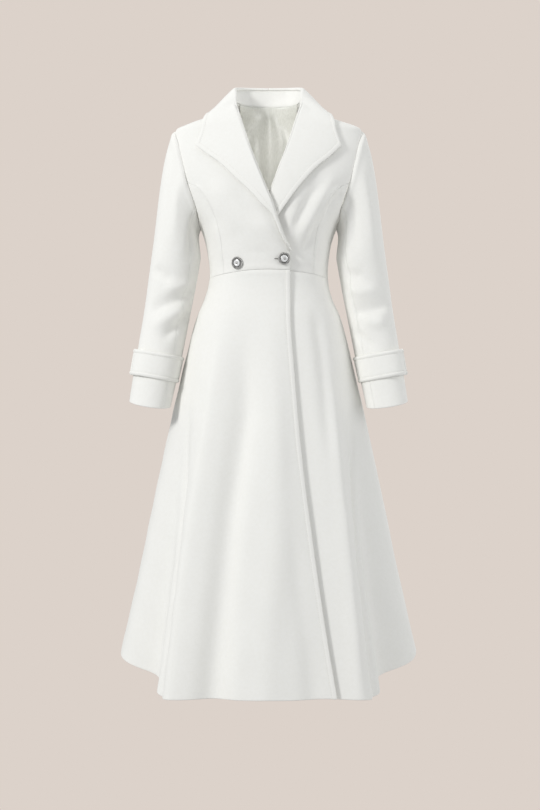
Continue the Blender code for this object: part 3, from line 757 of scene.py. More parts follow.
def backWaist(share):
    angle = math.pi + (quarter - math.pi) * np.asarray(share, float)
    return np.stack((angle, waistHeight(angle)), axis=-1)


def ringRadius(height):
    return (halfWidth(height) + frontDepth(height)) / 2


def flatPlaces(angle, height):
    return np.stack((angle * ringRadius(height), height), axis=-1)


def frontFold(points, **look):
    across, height = np.array(points, float).T
    return {"path": flatPlaces(frontAngle(across, height), height), **look}


def roundFold(points, **look):
    degrees, height = np.array(points, float).T
    return {"path": flatPlaces(np.radians(degrees), height), **look}


# creases of the bodice and skirt; across is plus on the wearer's left
bodyFolds = [
    frontFold([(0.136, -0.135), (0.094, -0.218), (0.058, -0.296)], rise=0.0066, wide=0.013, steep=1.3),
    frontFold([(0.104, -0.160), (0.068, -0.228), (0.050, -0.286)], rise=-0.0060, wide=0.009, steep=0.8),
    frontFold([(0.052, -0.215), (0.042, -0.258), (0.048, -0.300)], rise=0.0034, wide=0.008),
    frontFold([(0.104, -0.236), (0.076, -0.296), (0.060, -0.322)], rise=-0.0050, wide=0.011, steep=1.3),
    frontFold([(0.098, -0.330), (0.074, -0.322), (0.050, -0.318)], rise=0.0018, wide=0.007),
    frontFold([(-0.112, -0.150), (-0.092, -0.215), (-0.056, -0.276)], rise=0.0042, wide=0.018),
    frontFold([(-0.078, -0.172), (-0.040, -0.218), (-0.004, -0.262)], rise=-0.0030, wide=0.012),
    frontFold([(-0.112, -0.235), (-0.100, -0.285), (-0.090, -0.335)], rise=0.0022, wide=0.010),
    frontFold([(-0.060, -0.300), (-0.020, -0.308), (0.012, -0.306)], rise=-0.0012, wide=0.010),
    frontFold([(0.140, -0.170), (0.124, -0.186), (0.112, -0.205), (0.102, -0.232), (0.094, -0.262)],
              rise=0.0024, wide=0.0055, fadeIn=0.10, fadeOut=0.60),
    frontFold([(0.150, -0.182), (0.132, -0.198), (0.119, -0.218), (0.109, -0.244)],
              rise=-0.0036, wide=0.008, fadeIn=0.15, fadeOut=0.50),
    frontFold([(-0.146, -0.166), (-0.130, -0.184), (-0.117, -0.206), (-0.108, -0.230)],
              rise=0.0022, wide=0.005, fadeIn=0.15, fadeOut=0.50),
    frontFold([(-0.046, -0.400), (-0.050, -0.625), (-0.079, -0.815), (-0.101, -1.000), (-0.122, -1.240)],
              rise=-0.0180, wide=0.027, fadeIn=0.28, fadeOut=0.06),
    frontFold([(-0.082, -0.400), (-0.114, -0.625), (-0.144, -0.815), (-0.170, -1.000), (-0.188, -1.240)],
              rise=0.0070, wide=0.019, fadeIn=0.25, fadeOut=0.05),
    frontFold([(0.012, -0.400), (0.014, -0.690), (0.010, -0.880), (0.000, -1.020), (-0.016, -1.240)],
              rise=0.0085, wide=0.027, fadeIn=0.30, fadeOut=0.10),
    frontFold([(0.040, -0.780), (0.060, -0.950), (0.082, -1.100), (0.096, -1.240)],
              rise=-0.0036, wide=0.018, fadeOut=0.05),
    frontFold([(-0.048, -1.010), (-0.052, -1.090), (-0.060, -1.240)],
              rise=0.0030, wide=0.016, fadeOut=0.05),
    frontFold([(0.086, -0.400), (0.104, -0.500), (0.118, -0.640), (0.128, -0.760)],
              rise=-0.0058, wide=0.015, fadeIn=0.20),
    frontFold([(0.112, -0.480), (0.136, -0.730), (0.156, -0.940), (0.172, -1.240)],
              rise=0.0070, wide=0.014, fadeIn=0.30, fadeOut=0.05),
    frontFold([(-0.165, -0.600), (-0.178, -0.740), (-0.192, -0.900), (-0.205, -1.060), (-0.222, -1.240)],
              rise=-0.0090, wide=0.011, steep=1.5, fadeIn=0.3, fadeOut=0.02),
    frontFold([(0.174, -0.600), (0.182, -0.760), (0.190, -0.900), (0.204, -1.080), (0.220, -1.240)],
              rise=-0.0130, wide=0.012, steep=0.75, fadeIn=0.35, fadeOut=0.02),
    roundFold([(150, -0.120), (158, -0.200), (163, -0.290)], rise=0.0036, wide=0.016),
    roundFold([(-152, -0.100), (-156, -0.190), (-165, -0.300)], rise=0.0042, wide=0.018),
    roundFold([(172, -0.210), (176, -0.270), (170, -0.330)], rise=-0.0030, wide=0.011),
    roundFold([(120, -0.375), (128, -0.560), (138, -0.780)], rise=-0.0060, wide=0.020, fadeIn=0.25),
    roundFold([(-116, -0.372), (-126, -0.600), (-134, -0.860)], rise=-0.0066, wide=0.022, fadeIn=0.25),
    roundFold([(158, -0.372), (160, -0.600), (166, -0.900)], rise=0.0056, wide=0.021, fadeIn=0.25),
    roundFold([(-160, -0.380), (-165, -0.620), (-162, -0.980)], rise=0.0060, wide=0.022, fadeIn=0.25),
]
foldCalm = {"least": 0.3, "reach": 0.05, "behind": 9.0}
rippleLook = {"rise": 0.0006, "across": 61.0, "slant": 17.0, "down": 43.0}
# degrees from centre front where the waist seam starts to fade, over how many, and how much of it goes
waistLook = {"from": 22.0, "fade": 24.0, "share": 0.8}


# both fronts take the same folds, calmed along the edge that laps over, so that they stay nested
def foldedOut(angle, height, side):
    places = flatPlaces(side * angle, height)
    turn = places.copy()
    turn[..., 0] -= 2 * math.pi * ringRadius(height) * np.sign(side)
    rise = strokeRise(places, bodyFolds) + strokeRise(turn, bodyFolds)
    wave = np.sin(places[..., 0] * rippleLook["across"] + places[..., 1] * rippleLook["slant"])
    rise += rippleLook["rise"] * wave * np.sin(places[..., 1] * rippleLook["down"])
    edge = np.where(height < lapPlan["low"], overReach(height), -rollAcross(height))
    away = np.abs(side * halfWidth(height) * np.sin(angle) - edge)
    away = away + foldCalm["behind"] * (np.cos(angle) < 0)
    return rise * (foldCalm["least"] + (1 - foldCalm["least"]) * ease(away / foldCalm["reach"]))


def makePanel(name, node, pairs, side, inset, edges, stitched=(), extras=(), look=edgeLook):
    angle, height = pairs[..., 0], pairs[..., 1]
    normals = bodyNormal(angle, height)
    out = foldedOut(angle, height, side) - inset(angle, height)
    base = body(angle, height) + normals * out[..., None]
    past = (np.abs(np.degrees(angle[0])) - waistLook["from"]) / waistLook["fade"]
    waistFade = 1 - waistLook["share"] * ease(past)
    outer, inner = wallPoints(base, normals, cloth["wool"], edges, look, waistFade)
    piece = makeWall(name, outer, inner, edges, wool, side)
    laid = list(extras)
    if stitched:
        laid.append(stitchesOn(name + "Stitches", outer, normals, stitched, edgeLook["grooveAt"], side))
    return declare(piece, node)


# buttonhole of the fastened button: a slit of dark wool, painted shade for the opening, between two rows of
# thread; one end shows beside the button
holeLook = {"near": -0.0130, "far": -0.0280, "height": -0.3203, "half": 0.0006, "reach": 0.0019,
            "pitch": 0.0008, "thread": 0.00040, "slitLength": 0.0030, "sides": 6}


def buttonhole(side):
    near, far, reach = holeLook["near"], holeLook["far"], holeLook["reach"]
    across = np.linspace(near, far, int((near - far) / holeLook["pitch"]))
    stacks = []
    for level in (-1, 0, 1):
        height = holeLook["height"] + level * (holeLook["half"] + reach / 2) + 0 * across
        angle = frontAngle(across, height)
        up = bodyNormal(angle, height)
        centres = surface(angle, height, foldedOut(angle, height, side))
        along = unit(np.gradient(centres, axis=0))
        way, length, radius = along, holeLook["slitLength"], holeLook["half"]
        if level:
            way, length, radius = np.cross(up, along), reach, holeLook["thread"]
        # the middle row is the slit, in the dark wool that paints the shade inside it
        stacks.append((threads(centres, way, up, length, radius, holeLook["sides"]), int(level == 0)))
    piece = stackedPiece("buttonhole", stacks, side, [thread, slitShadeWool])
    return piece


insets = {"right": noInset, "left": underInset}
sides = {"right": -1, "left": 1}

bodiceEdge = {**edgeLook, "groove": 0.0}
bodicePieces = {"centreWidth": 0.13, "centreLength": 0.36, "sideWidth": 0.07, "sideLength": 0.15}
centreOutside = joined((princess, bodicePlan["princess"]), (armholeUpper, armholeParts["upper"]))
for word, side in sides.items():
    across, along = shares(bodicePieces["centreWidth"]), shares(bodicePieces["centreLength"])
    pairs = fill(frontLineEdge, centreOutside, centreWaist, shoulder, across, along)
    extras = [buttonhole(side)] if word == "right" else []
    makePanel("centreFront" + word.title(), "bodice_centre_front_" + word, pairs, side, insets[word],
              edgeKinds("seam", start="free", end="light"), extras=extras, look=bodiceEdge)
    across, along = shares(bodicePieces["sideWidth"]), shares(bodicePieces["sideLength"])
    pairs = fill(princess, sideSeam, sideWaist, armholeFront, across, along)
    makePanel("sideFront" + word.title(), "bodice_side_front_" + word, pairs, side, insets[word],
              edgeKinds("seam", first="light", start="light"))
print("stage bodice fronts done")

backPieces = {"width": 0.17, "length": 0.40}
backUpperRows = armholeParts["back"] - bodicePlan["neck"]
centreBackLow = curve([(math.pi, float(waistHeight(math.pi))), (math.pi, bodicePlan["blade"])])
centreBackHigh = curve([(math.pi, bodicePlan["blade"]), (math.pi, neckHeight)])
backNeck = curve([(math.pi, neckHeight), (quarter, neckHeight)])
backInside = joined((centreBackLow, bodicePlan["princess"]), (centreBackHigh, backUpperRows),
                    (backNeck, bodicePlan["neck"]))
backOutside = joined((sideSeam, bodicePlan["princess"]), (armholeBack, armholeParts["back"]))
for word, side in sides.items():
    across, along = shares(backPieces["width"]), shares(backPieces["length"])
    pairs = fill(backInside, backOutside, backWaist, shoulder, across, along)
    makePanel("bodiceBack" + word.title(), "bodice_back_" + word, pairs, side, noInset, edgeKinds("seam"))
print("stage bodice back done")


# skirt panels from the waist seam to the hem
def sideAngle(height):
    waist = waistHeight(quarter)
    share = np.clip((waist - height) / (waist - fluteGrowth["end"]), 0.0, 1.0)
    return quarter + (math.radians(skirtPlan["sideSeamHem"]) - quarter) * share


def skirtEdge(top, bottom, angleAt):
    def value(share):
        height = top + (bottom - top) * np.asarray(share, float)
        return np.stack((angleAt(height), height), axis=-1)
    return value


def hemEdge(start, end):
    def value(share):
        angle = start + (end - start) * np.asarray(share, float)
        return np.stack((angle, hemHeight(np.abs(np.degrees(angle)))), axis=-1)
    return value


skirtSide = skirtEdge(float(waistHeight(quarter)), float(hemHeight(skirtPlan["sideSeamHem"])), sideAngle)
frontWaist = joined((centreWaist, bodicePlan["centre"]), (sideWaist, armholeParts["lower"]))
skirtPieces = {"frontWidth": 0.34, "backWidth": 0.34, "length": 0.83}


def endsMet(edge, first, last):
    def value(share):
        share = np.asarray(share, float)
        rate = skirtPlan["meetRate"]
        points = edge(share)
        points = points + (1 - ease(share * rate))[:, None] * (first - pointOn(edge, 0.0))
        return points + (1 - ease((1 - share) * rate))[:, None] * (last - pointOn(edge, 1.0))
    return value


def frontSkirtPairs(shareOver):
    top = pointOn(frontLineEdge, 0.0)
    first = float(overReach(top[1]))

    def edgeAngle(height):
        return frontAngle(-(first + (overReach(height) - first) * shareOver), height)

    hemAngle = float(edgeAngle(hemLine[0][1]))
    edge = skirtEdge(top[1], float(hemHeight(abs(math.degrees(hemAngle)))), edgeAngle)
    start, end = pointOn(edge, 1.0), pointOn(skirtSide, 1.0)
    hem = endsMet(hemEdge(start[0], end[0]), start, end)
    edge = endsMet(edge, top, start)
    across, along = shares(skirtPieces["frontWidth"]), shares(skirtPieces["length"])
    return fill(edge, skirtSide, frontWaist, hem, across, along)


def backSkirtPairs():
    middle = skirtEdge(float(waistHeight(math.pi)), float(hemHeight(180.0)),
                       lambda height: math.pi + 0 * height)
    waist = stretch(backWaist, 1.0, 0.0)
    start, end = pointOn(skirtSide, 1.0), pointOn(middle, 1.0)
    hem = endsMet(hemEdge(start[0], math.pi), start, end)
    across, along = shares(skirtPieces["backWidth"]), shares(skirtPieces["length"])
    return fill(skirtSide, middle, waist, hem, across, along)


for word, side in sides.items():
    pairs = frontSkirtPairs(1.0 if word == "right" else skirtPlan["underShare"])
    makePanel("skirtFront" + word.title(), "skirt_front_" + word, pairs, side, insets[word],
              edgeKinds("seam", start="free", last="bare"), stitched=["start"])
    makePanel("skirtBack" + word.title(), "skirt_back_" + word, backSkirtPairs(), side, noInset,
              edgeKinds("seam", last="bare"))
print("stage skirt done")

# sleeves: place round the armhole in columns, place down the sleeve in rows
frontColumns = armholeParts["lower"] + armholeParts["upper"]
allColumns = frontColumns + armholeParts["back"]
ringIndex = np.arange(len(sleeveRings))
ringCurves = [smoothCurve(ringIndex, [row[i] for row in sleeveRings]) for i in range(5)]


def sleevePoints(rows, columns):
    columns = np.asarray(columns, float) % allColumns
    front = columns <= frontColumns
    frontShare = np.clip(1 - columns / frontColumns, 0, 1)
    backShare = np.clip((columns - frontColumns) / armholeParts["back"], 0, 1)
    pairs = np.where(front[:, None], armhole(frontShare), armholeBack(backShare))
    tops = body(pairs[:, 0], pairs[:, 1])
    turns = np.where(front, math.pi * columns / frontColumns, math.pi * (1 + backShare))
    ring = np.clip(np.asarray(rows, float) - sleevePlan["capRows"], 0, ringIndex[-1])

    def centre(place):
        height, across, forward = (ringCurves[i](place) for i in range(3))
        return np.stack((across, -forward, height), axis=-1)

    step = 0.5
    low = np.clip(ring - step, 0, ringIndex[-1])
    high = np.clip(ring + step, 0, ringIndex[-1])
    axis = unit(centre(high) - centre(low))
    outward = unit(np.array((1.0, 0.0, 0.0)) - axis * axis[:, :1])
    droop = sleevePlan["droop"] * np.maximum(ring - sleevePlan["droopFrom"], 0.0)
    ahead = unit(np.stack((0 * droop, 0 * droop - 1.0, -droop), axis=-1))
    wide, deep = ringCurves[3](ring), ringCurves[4](ring)
    rings = centre(ring)[:, None] + outward[:, None] * (wide[:, None] * np.cos(turns))[..., None]
    rings = rings + ahead[:, None] * (deep[:, None] * np.sin(turns))[..., None]
    share = np.clip(np.asarray(rows, float) / sleevePlan["capRows"], 0, 1)[:, None, None]
    lengths = np.linalg.norm(rings[0] - tops, axis=1, keepdims=True)
    crown = ((1 + np.cos(turns)) / 2)[:, None]
    leave = np.array(sleevePlan["headLeave"]) * crown + np.array(sleevePlan["underarmLeave"]) * (1 - crown)
    pull = sleevePlan["headPull"] * crown + sleevePlan["pull"] * (1 - crown)
    leave = unit(leave) * lengths * pull
    arrive = axis[0] * lengths * sleevePlan["pull"]
    rise = share * share * (3 - 2 * share)
    bend = leave * share * (1 - share) ** 2 + arrive * share * share * (share - 1)
    cap = tops * (1 - rise) + rings[0] * rise + bend
    return np.where(share < 1, cap, rings), np.degrees(turns)


# elbow creases: degrees round from the outside by the front, height
sleeveFolds = {
    "right": [
        {"path": [(164, -0.382), (118, -0.398), (84, -0.408), (34, -0.426)], "rise": -0.0044, "wide": 0.012,
         "steep": 0.75, "fadeIn": 0.12},
        {"path": [(154, -0.358), (112, -0.370), (66, -0.384)], "rise": 0.0026, "wide": 0.012},
        {"path": [(36, -0.328), (64, -0.346), (98, -0.364)], "rise": -0.0040, "wide": 0.010, "steep": 1.3},
        {"path": [(148, -0.406), (104, -0.430), (56, -0.458)], "rise": 0.0040, "wide": 0.013},
        {"path": [(168, -0.426), (126, -0.452), (84, -0.482)], "rise": -0.0044, "wide": 0.012,
         "fadeIn": 0.15},
        {"path": [(96, -0.110), (88, -0.200), (84, -0.310)], "rise": 0.0024, "wide": 0.014},
        {"path": [(146, -0.215), (132, -0.275), (122, -0.330)], "rise": -0.0036, "wide": 0.012},
        {"path": [(232, -0.380), (262, -0.396), (300, -0.392)], "rise": -0.0030, "wide": 0.010},
        {"path": [(240, -0.430), (275, -0.440), (312, -0.428)], "rise": 0.0026, "wide": 0.011},
    ],
    "left": [
        {"path": [(142, -0.424), (104, -0.422), (64, -0.414), (30, -0.404)], "rise": -0.0050, "wide": 0.011,
         "steep": 0.62, "fadeIn": 0.2, "fadeOut": 0.4},
        {"path": [(150, -0.372), (112, -0.382), (58, -0.372)], "rise": 0.0026, "wide": 0.012},
        {"path": [(120, -0.436), (90, -0.446), (52, -0.436)], "rise": 0.0030, "wide": 0.011},
        {"path": [(150, -0.455), (122, -0.476), (96, -0.500)], "rise": -0.0032, "wide": 0.010},
        {"path": [(148, -0.336), (116, -0.350), (88, -0.344)], "rise": -0.0030, "wide": 0.012},
        {"path": [(72, -0.105), (66, -0.200), (62, -0.330)], "rise": 0.0030, "wide": 0.014},
        {"path": [(120, -0.150), (108, -0.240), (104, -0.320)], "rise": -0.0032, "wide": 0.014},
        {"path": [(226, -0.392), (260, -0.404), (304, -0.388)], "rise": -0.0032, "wide": 0.010},
        {"path": [(244, -0.440), (280, -0.452), (316, -0.444)], "rise": 0.0024, "wide": 0.010},
    ],
}
sleeveLook = {"around": 0.052, "foldDepth": 1.5, "headRoll": 0.0026, "headAt": 0.45, "headWide": 0.42,
              "length": 0.57, "columnWidth": 0.0145}


# rows run down the sleeve and columns run round it, so the normals point outwards
def sleeveSurface(rows, columns, word):
    points, degrees = sleevePoints(rows, columns)
    step = 0.05
    around = sleevePoints(rows, columns + step)[0] - sleevePoints(rows, columns - step)[0]
    normals = unit(np.cross(around, np.gradient(points, axis=0)))
    heights = points[..., 2]
    turns = np.radians(degrees)
    places = np.stack((turns[None] * sleeveLook["around"] + 0 * heights, heights), axis=-1)
    folds = [{**fold, "path": [(math.radians(a) * sleeveLook["around"], h) for a, h in fold["path"]]}
             for fold in sleeveFolds[word]]
    rise = sleeveLook["foldDepth"] * strokeRise(places, folds)
    crown = ease((1 + np.cos(turns)) / 2)[None]
    roll = sleeveLook["headRoll"] * bump(rows, sleeveLook["headAt"], sleeveLook["headWide"])[:, None]
    rise = rise + roll * crown
    return points, normals, rise[..., None]


def sleeveSet(word, side):
    lastRow = sleevePlan["capRows"] + ringIndex[-1]
    rows = shares(sleeveLook["length"]) * lastRow
    first, last = sleevePlan["underStart"], sleevePlan["underEnd"]
    edges = edgeKinds("light", first="seam", last="bare")
    for name, start, end in (("upper", last - allColumns, first), ("under", first, last)):
        columns = start + shares((end - start) * sleeveLook["columnWidth"]) * (end - start)
        points, normals, rise = sleeveSurface(rows, columns, word)
        base = points + normals * rise
        outer, inner = wallPoints(base, normals, cloth["wool"], edges)
        piece = makeWall(name + "Sleeve" + word.title(), outer, inner, edges, wool, side)
        declare(piece, name + "_sleeve_" + word)


for word, side in sides.items():
    sleeveSet(word, side)
print("stage sleeves done")

# cuff strap: a band on the sleeve's own points, its end lapped over its start
strapLook = {"rows": (13, 15), "start": 3, "lap": 2, "rise": 3, "width": 0.052, "length": 0.34}
strapEdge = {**edgeLook, "puff": 0.0011, "puffAt": 0.0028, "puffWide": 0.0024, "groove": 0.0009,
             "grooveAt": 0.0062}


def strapSet(word, side):
    first, last = strapLook["rows"]
    rows = first + shares(strapLook["width"]) * (last - first)
    place = shares(strapLook["length"]) * (allColumns + strapLook["lap"])
    points, normals = sleeveSurface(rows, strapLook["start"] - place, word)[:2]
    lap = ease((place - allColumns + strapLook["rise"]) / strapLook["rise"])
    lifted = cloth["strapGap"] + (cloth["strap"] + cloth["strapGap"]) * lap
    top = points + normals * (lifted + cloth["strap"])[None, :, None]
    edges = edgeKinds("free")
    outer, inner = wallPoints(top, normals, cloth["strap"], edges, strapEdge)
    piece = makeWall("cuffStrap" + word.title(), outer, inner, edges, wool, side)
    stitches = stitchesOn("strapStitches" + word.title(), outer, normals, ["first", "last", "end"],
                          strapEdge["grooveAt"], side)
    declare(piece, "cuff_strap_" + word)


for word, side in sides.items():
    strapSet(word, side)
print("stage cuffs done")


# collar: stations from centre back to the end of the lapel
def clearOfBody(points, inset):
    across, along, height = points[..., 0], points[..., 1], points[..., 2]
    depth = np.where(along < 0, frontDepth(height), backDepth(height))
    angle = np.arctan2(across / halfWidth(height), -along / depth)
    foot = surface(angle, height, -inset(angle, height))
    outward = bodyNormal(angle, height)
    lack = collarPlan["clearance"] + cloth["wool"] / 2 - np.sum((points - foot) * outward, axis=-1)
    lack = np.where(height > neckHeight, 0.0, np.maximum(lack, 0.0))
    return points + outward * lack[..., None]


def collarStations(inset, lapel):
    back = np.array(collarBack)
    flip = np.array((1.0, -1.0, 1.0))
    rolls = list(back[:, 3:6] * flip)
    edges = list(back[:, 6:9] * flip)
    outwards = [None] * len(rolls)
    for rollX, rollZ, edgeX, edgeZ, drop in frontLine[-2:lapel["lastRow"] - 1:-1]:
        edgeZ = edgeZ - drop * lapel["drop"]
        angle = frontAngle(rollX, rollZ)
        rolls.append(surface(angle, rollZ, -inset(angle, np.array(rollZ)) - cloth["wool"] / 2))
        outwards.append(bodyNormal(angle, np.array(rollZ)))
        angle = frontAngle(edgeX, edgeZ)
        rise = collarPlan["clearance"] + cloth["wool"] / 2
        edges.append(surface(angle, edgeZ, rise - inset(angle, np.array(edgeZ))))
    rolls, edges = np.array(rolls), np.array(edges)
    tangents = unit(np.gradient(rolls, axis=0))
    gaps = [collarPlan["collarStart"] if way is None else collarPlan["lapelStart"] for way in outwards]
    ways = [unit(np.cross(t, e - r)) if way is None else way
            for way, t, e, r in zip(outwards, tangents, edges, rolls)]
    return rolls, edges, np.array(ways), np.array(gaps)


def throughStations(values, places, corner=None):
    values = np.asarray(values)
    index = np.arange(len(values))
    if corner is None:
        return np.stack([smoothCurve(index, column)(places) for column in values.T], axis=-1)
    before = throughStations(values[:corner + 1], np.minimum(places, corner))
    after = throughStations(values[corner:], np.maximum(places - corner, 0.0))
    return np.where((places <= corner)[:, None], before, after)


collarLook = {"length": 0.42, "foldSteps": 10, "width": 0.09, "cornerPull": 0.4}
collarEdge = {**edgeLook, "puff": 0.0006, "groove": 0.0005}


def collarSet(word, side):
    inset = insets[word]
    rolls, edges, ways, gaps = collarStations(inset, lapelPlan[word])
    places = shares(collarLook["length"]) * (len(rolls) - 1)
    corner = len(collarBack) + collarPlan["pointRow"]
    nearest = places[np.argmin(np.abs(places - corner))]
    places = places + (corner - nearest) * bump(places, corner, collarLook["cornerPull"])
    rolls, edges = throughStations(rolls, places), throughStations(edges, places, corner)
    ways = unit(throughStations(ways, places))
    gaps = np.interp(places, np.arange(len(gaps)), gaps)[:, None]
    tangents = unit(np.gradient(rolls, axis=0))
    down = unit(np.cross(ways, tangents))
    down = down * np.where(np.sum(down * (edges - rolls), axis=1, keepdims=True) < 0, -1.0, 1.0)
    start = rolls - down * gaps
    middle = start + ways * collarPlan["fold"]
    columns = []
    for step in range(collarLook["foldSteps"] + 1):
        turn = math.pi * step / collarLook["foldSteps"]
        columns.append(middle - collarPlan["fold"] * (ways * math.cos(turn) + down * math.sin(turn)))
    top = columns[-1]
    width = np.linalg.norm(edges - top, axis=1, keepdims=True)
    fullness = np.minimum(width / collarPlan["crownWidth"], 1.0) ** 2
    for share in shares(collarLook["width"])[1:]:
        crown = collarPlan["crown"] * fullness * 4 * share * (1 - share)
        columns.append(clearOfBody(top + (edges - top) * share + ways * crown, inset))
    grid = np.stack(columns, axis=1)
    normals = gridNormals(grid)
    grid[0, :, 0] = cloth["seamGap"] / 2
    normals[0, :, 0] = 0.0
    normals = unit(normals)
    if np.sum(normals[:, -3] * ways) < 0:
        normals = -normals
    kinds = edgeKinds("plain", last="free", end="free")
    outer, inner = wallPoints(grid + normals * cloth["wool"] / 2, normals, cloth["wool"], kinds, collarEdge)
    piece = makeWall("collar" + word.title(), outer, inner, kinds, wool, side)
    stitches = stitchesOn("collarStitches" + word.title(), outer, normals, ["end"],
                          edgeLook["grooveAt"], side)
    declare(piece, "collar_" + word)


for word, side in sides.items():
    collarSet(word, side)

standLook = {"tuck": 0.0026, "length": 0.26, "height": 0.036}  # its top edge sits inside the collar's roll


def standSet():
    back = np.array(collarBack)
    flip = np.array((1.0, -1.0, 1.0))
    mirror = np.array((-1.0, 1.0, 1.0))
    rims = []
    for column in (0, 3):
        half = back[:, column:column + 3] * flip
        rims.append(np.concatenate((half[:0:-1] * mirror, half)))
    places = shares(standLook["length"]) * (len(rims[0]) - 1)
    feet, tops = (throughStations(rim, places) for rim in rims)
    rise = shares(standLook["height"])[:, None, None]
    tops = tops + unit(tops - feet) * standLook["tuck"]
    grid = feet[None] + (tops - feet)[None] * rise
    normals = gridNormals(grid)
    if normals[0, len(places) // 2, 1] > 0:
        normals = -normals
    kinds = edgeKinds("plain", first="light", last="light")
    outer, inner = wallPoints(grid + normals * cloth["wool"] / 2, normals, cloth["wool"], kinds)
    piece = makeWall("collarStand", outer, inner, kinds, wool, 1)
    declare(piece, "collar_stand")


standSet()
print("stage collar done")

# satin back lining: height, spread either side in degrees, gap to the back
liningRows = (
    (0.0105, 70.0, 0.0012),
    (0.0040, 56.0, 0.0020),
    (-0.003, 49.0, 0.0026),
    (-0.010, 46.0, 0.0028),
    (-0.018, 46.0, 0.0028),
    (-0.030, 48.0, 0.0028),
    (-0.050, 53.0, 0.0026),
    (-0.085, 60.0, 0.0024),
    (-0.135, 66.0, 0.0024),
    (-0.195, 70.0, 0.0024),
    (-0.255, 70.0, 0.0024),
    (-0.305, 70.0, 0.0024),
)
liningLook = {"pleat": 0.006, "pleatWide": 6.0, "pleatFade": 0.024, "rows": 110, "columns": 121,
              "top": 0.0130, "fadeIn": 0.05, "fadeOut": 0.08}
# soft folds of the lining: degrees from centre back, rise, width in degrees, top, bottom
liningFolds = (
    (-26.0, 0.0044, 5.0, -0.006, -0.150),
    (-12.0, 0.0026, 2.6, -0.018, -0.220),
    (9.0, 0.0034, 2.4, -0.026, -0.260),
    (17.0, 0.0046, 3.4, -0.012, -0.190),
    (29.0, 0.0036, 4.2, -0.008, -0.120),
    (-40.0, 0.0034, 5.0, -0.050, -0.240),
    (42.0, 0.0038, 5.5, -0.045, -0.260),
)


def liningSet():
    spreadAt, gapAt = tableCurve(liningRows, 1), tableCurve(liningRows, 2)
    heights = np.linspace(liningLook["top"], liningRows[-1][0], liningLook["rows"])
    share = np.linspace(-1, 1, liningLook["columns"])
    degrees = spreadAt(heights)[:, None] * share[None]
    height = heights[:, None] + 0 * degrees
    angle = np.radians(180.0 + degrees)
    opened = ease((liningLook["top"] - height) / liningLook["pleatFade"])
    rise = gapAt(height) + liningLook["pleat"] * opened * bump(degrees, 0.0, liningLook["pleatWide"])
    for at, reach, wide, high, low in liningFolds:
        fade = ease((high - height) / liningLook["fadeIn"]) * ease((height - low) / liningLook["fadeOut"])
        rise = rise + reach * fade * bump(degrees, at, wide)
    normals = -bodyNormal(angle, height)
    base = body(angle, height) + normals * (cloth["wool"] + rise + cloth["satin"])[..., None]
    kinds = edgeKinds("plain")
    outer, inner = wallPoints(base, normals, cloth["satin"], kinds)
    piece = makeWall("backLining", outer, inner, kinds, satin, 1)
    declare(piece, "back_lining")


liningSet()
print("stage lining done")

# buttons: piece, node, across and height; then share of the radius and height above the cloth of each part
buttonSpots = (("buttonOuter", "button_outer", 0.061, -0.327),
               ("buttonFastened", "button_fastened", -0.0305, -0.3195))
buttonLook = {"radius": 0.0125, "centreShare": 1e-4}
buttonRim = ((0.45, 0.0009), (0.90, 0.0012), (0.975, 0.0020), (0.975, 0.0030), (0.93, 0.0034),
             (0.70, 0.0036), (0.66, 0.0026))
buttonGroove = ((0.665, 0.0032), (0.62, 0.0026), (0.56, 0.0026))
buttonDome = ((0.585, 0.0024), (0.575, 0.0038), (0.54, 0.0046), (0.47, 0.0051), (0.38, 0.0053),
              (0.28, 0.0050), (0.21, 0.0047), (0.0, 0.0046))
buttonDot = ((0.19, 0.0045), (0.185, 0.0052), (0.15, 0.0060), (0.09, 0.0066), (0.0, 0.0068))
buttonMetals = [silver, tarnish, bright]
# turned parts: profile, sides, metal
buttonParts = ((buttonRim, 64, 0), (buttonGroove, 64, 1), (buttonDome, 64, 2), (buttonDot, 24, 0))
# rows of beads: count, bead radius, ring radius, rise, twist
buttonBeads = ((30, 0.00105, 0.0112, 0.0038, 0.6), (26, 0.00080, 0.0092, 0.0040, -0.6))
beadLook = {"rings": 6, "sides": 10, "along": 0.8, "long": 1.3, "thick": 0.9}


def turned(profile, place, count):
    foot, sideways, upward, outward = place
    turn = np.linspace(0, 2 * math.pi, count, endpoint=False)[:, None]
    spoke = sideways * np.cos(turn) + upward * np.sin(turn)
    points, faces = [], []
    for share, rise in profile:
        reach = max(share, buttonLook["centreShare"]) * buttonLook["radius"]
        points.append(foot + spoke * reach + outward * rise)
    for ring in range(len(profile) - 1):
        low, high = ring * count, (ring + 1) * count
        for i in range(count):
            j = (i + 1) % count
            faces.append((low + i, low + j, high + j, high + i))
    faces.append(tuple(range(count - 1, -1, -1)))
    faces.append(tuple(range((len(profile) - 1) * count, len(profile) * count)))
    return np.concatenate(points), faces


def beadRing(place, count, size, reach, rise, lean):
    foot, sideways, upward, outward = place
    points, faces = [], []
    rings, around = beadLook["rings"], beadLook["sides"]
    for bead in range(count):
        turn = 2 * math.pi * bead / count
        spoke = sideways * math.cos(turn) + upward * math.sin(turn)
        along = upward * math.cos(turn) - sideways * math.sin(turn)
        twist = unit(along * beadLook["along"] + spoke * lean)
        across = unit(np.cross(twist, outward))
        middle = foot + spoke * reach + outward * rise
        start = len(points)
        for ring in range(rings + 1):
            up = math.pi * ring / rings
            centre = middle - twist * size * beadLook["long"] * math.cos(up)
            thick = size * beadLook["thick"] * math.sin(up)
            for i in range(around):
                spin = 2 * math.pi * i / around
                points.append(centre + (across * math.cos(spin) + outward * math.sin(spin)) * thick)
        for ring in range(rings):
            for i in range(around):
                j = (i + 1) % around
                a, b = start + ring * around, start + (ring + 1) * around
                faces.append((a + i, a + j, b + j, b + i))
    return np.array(points), faces


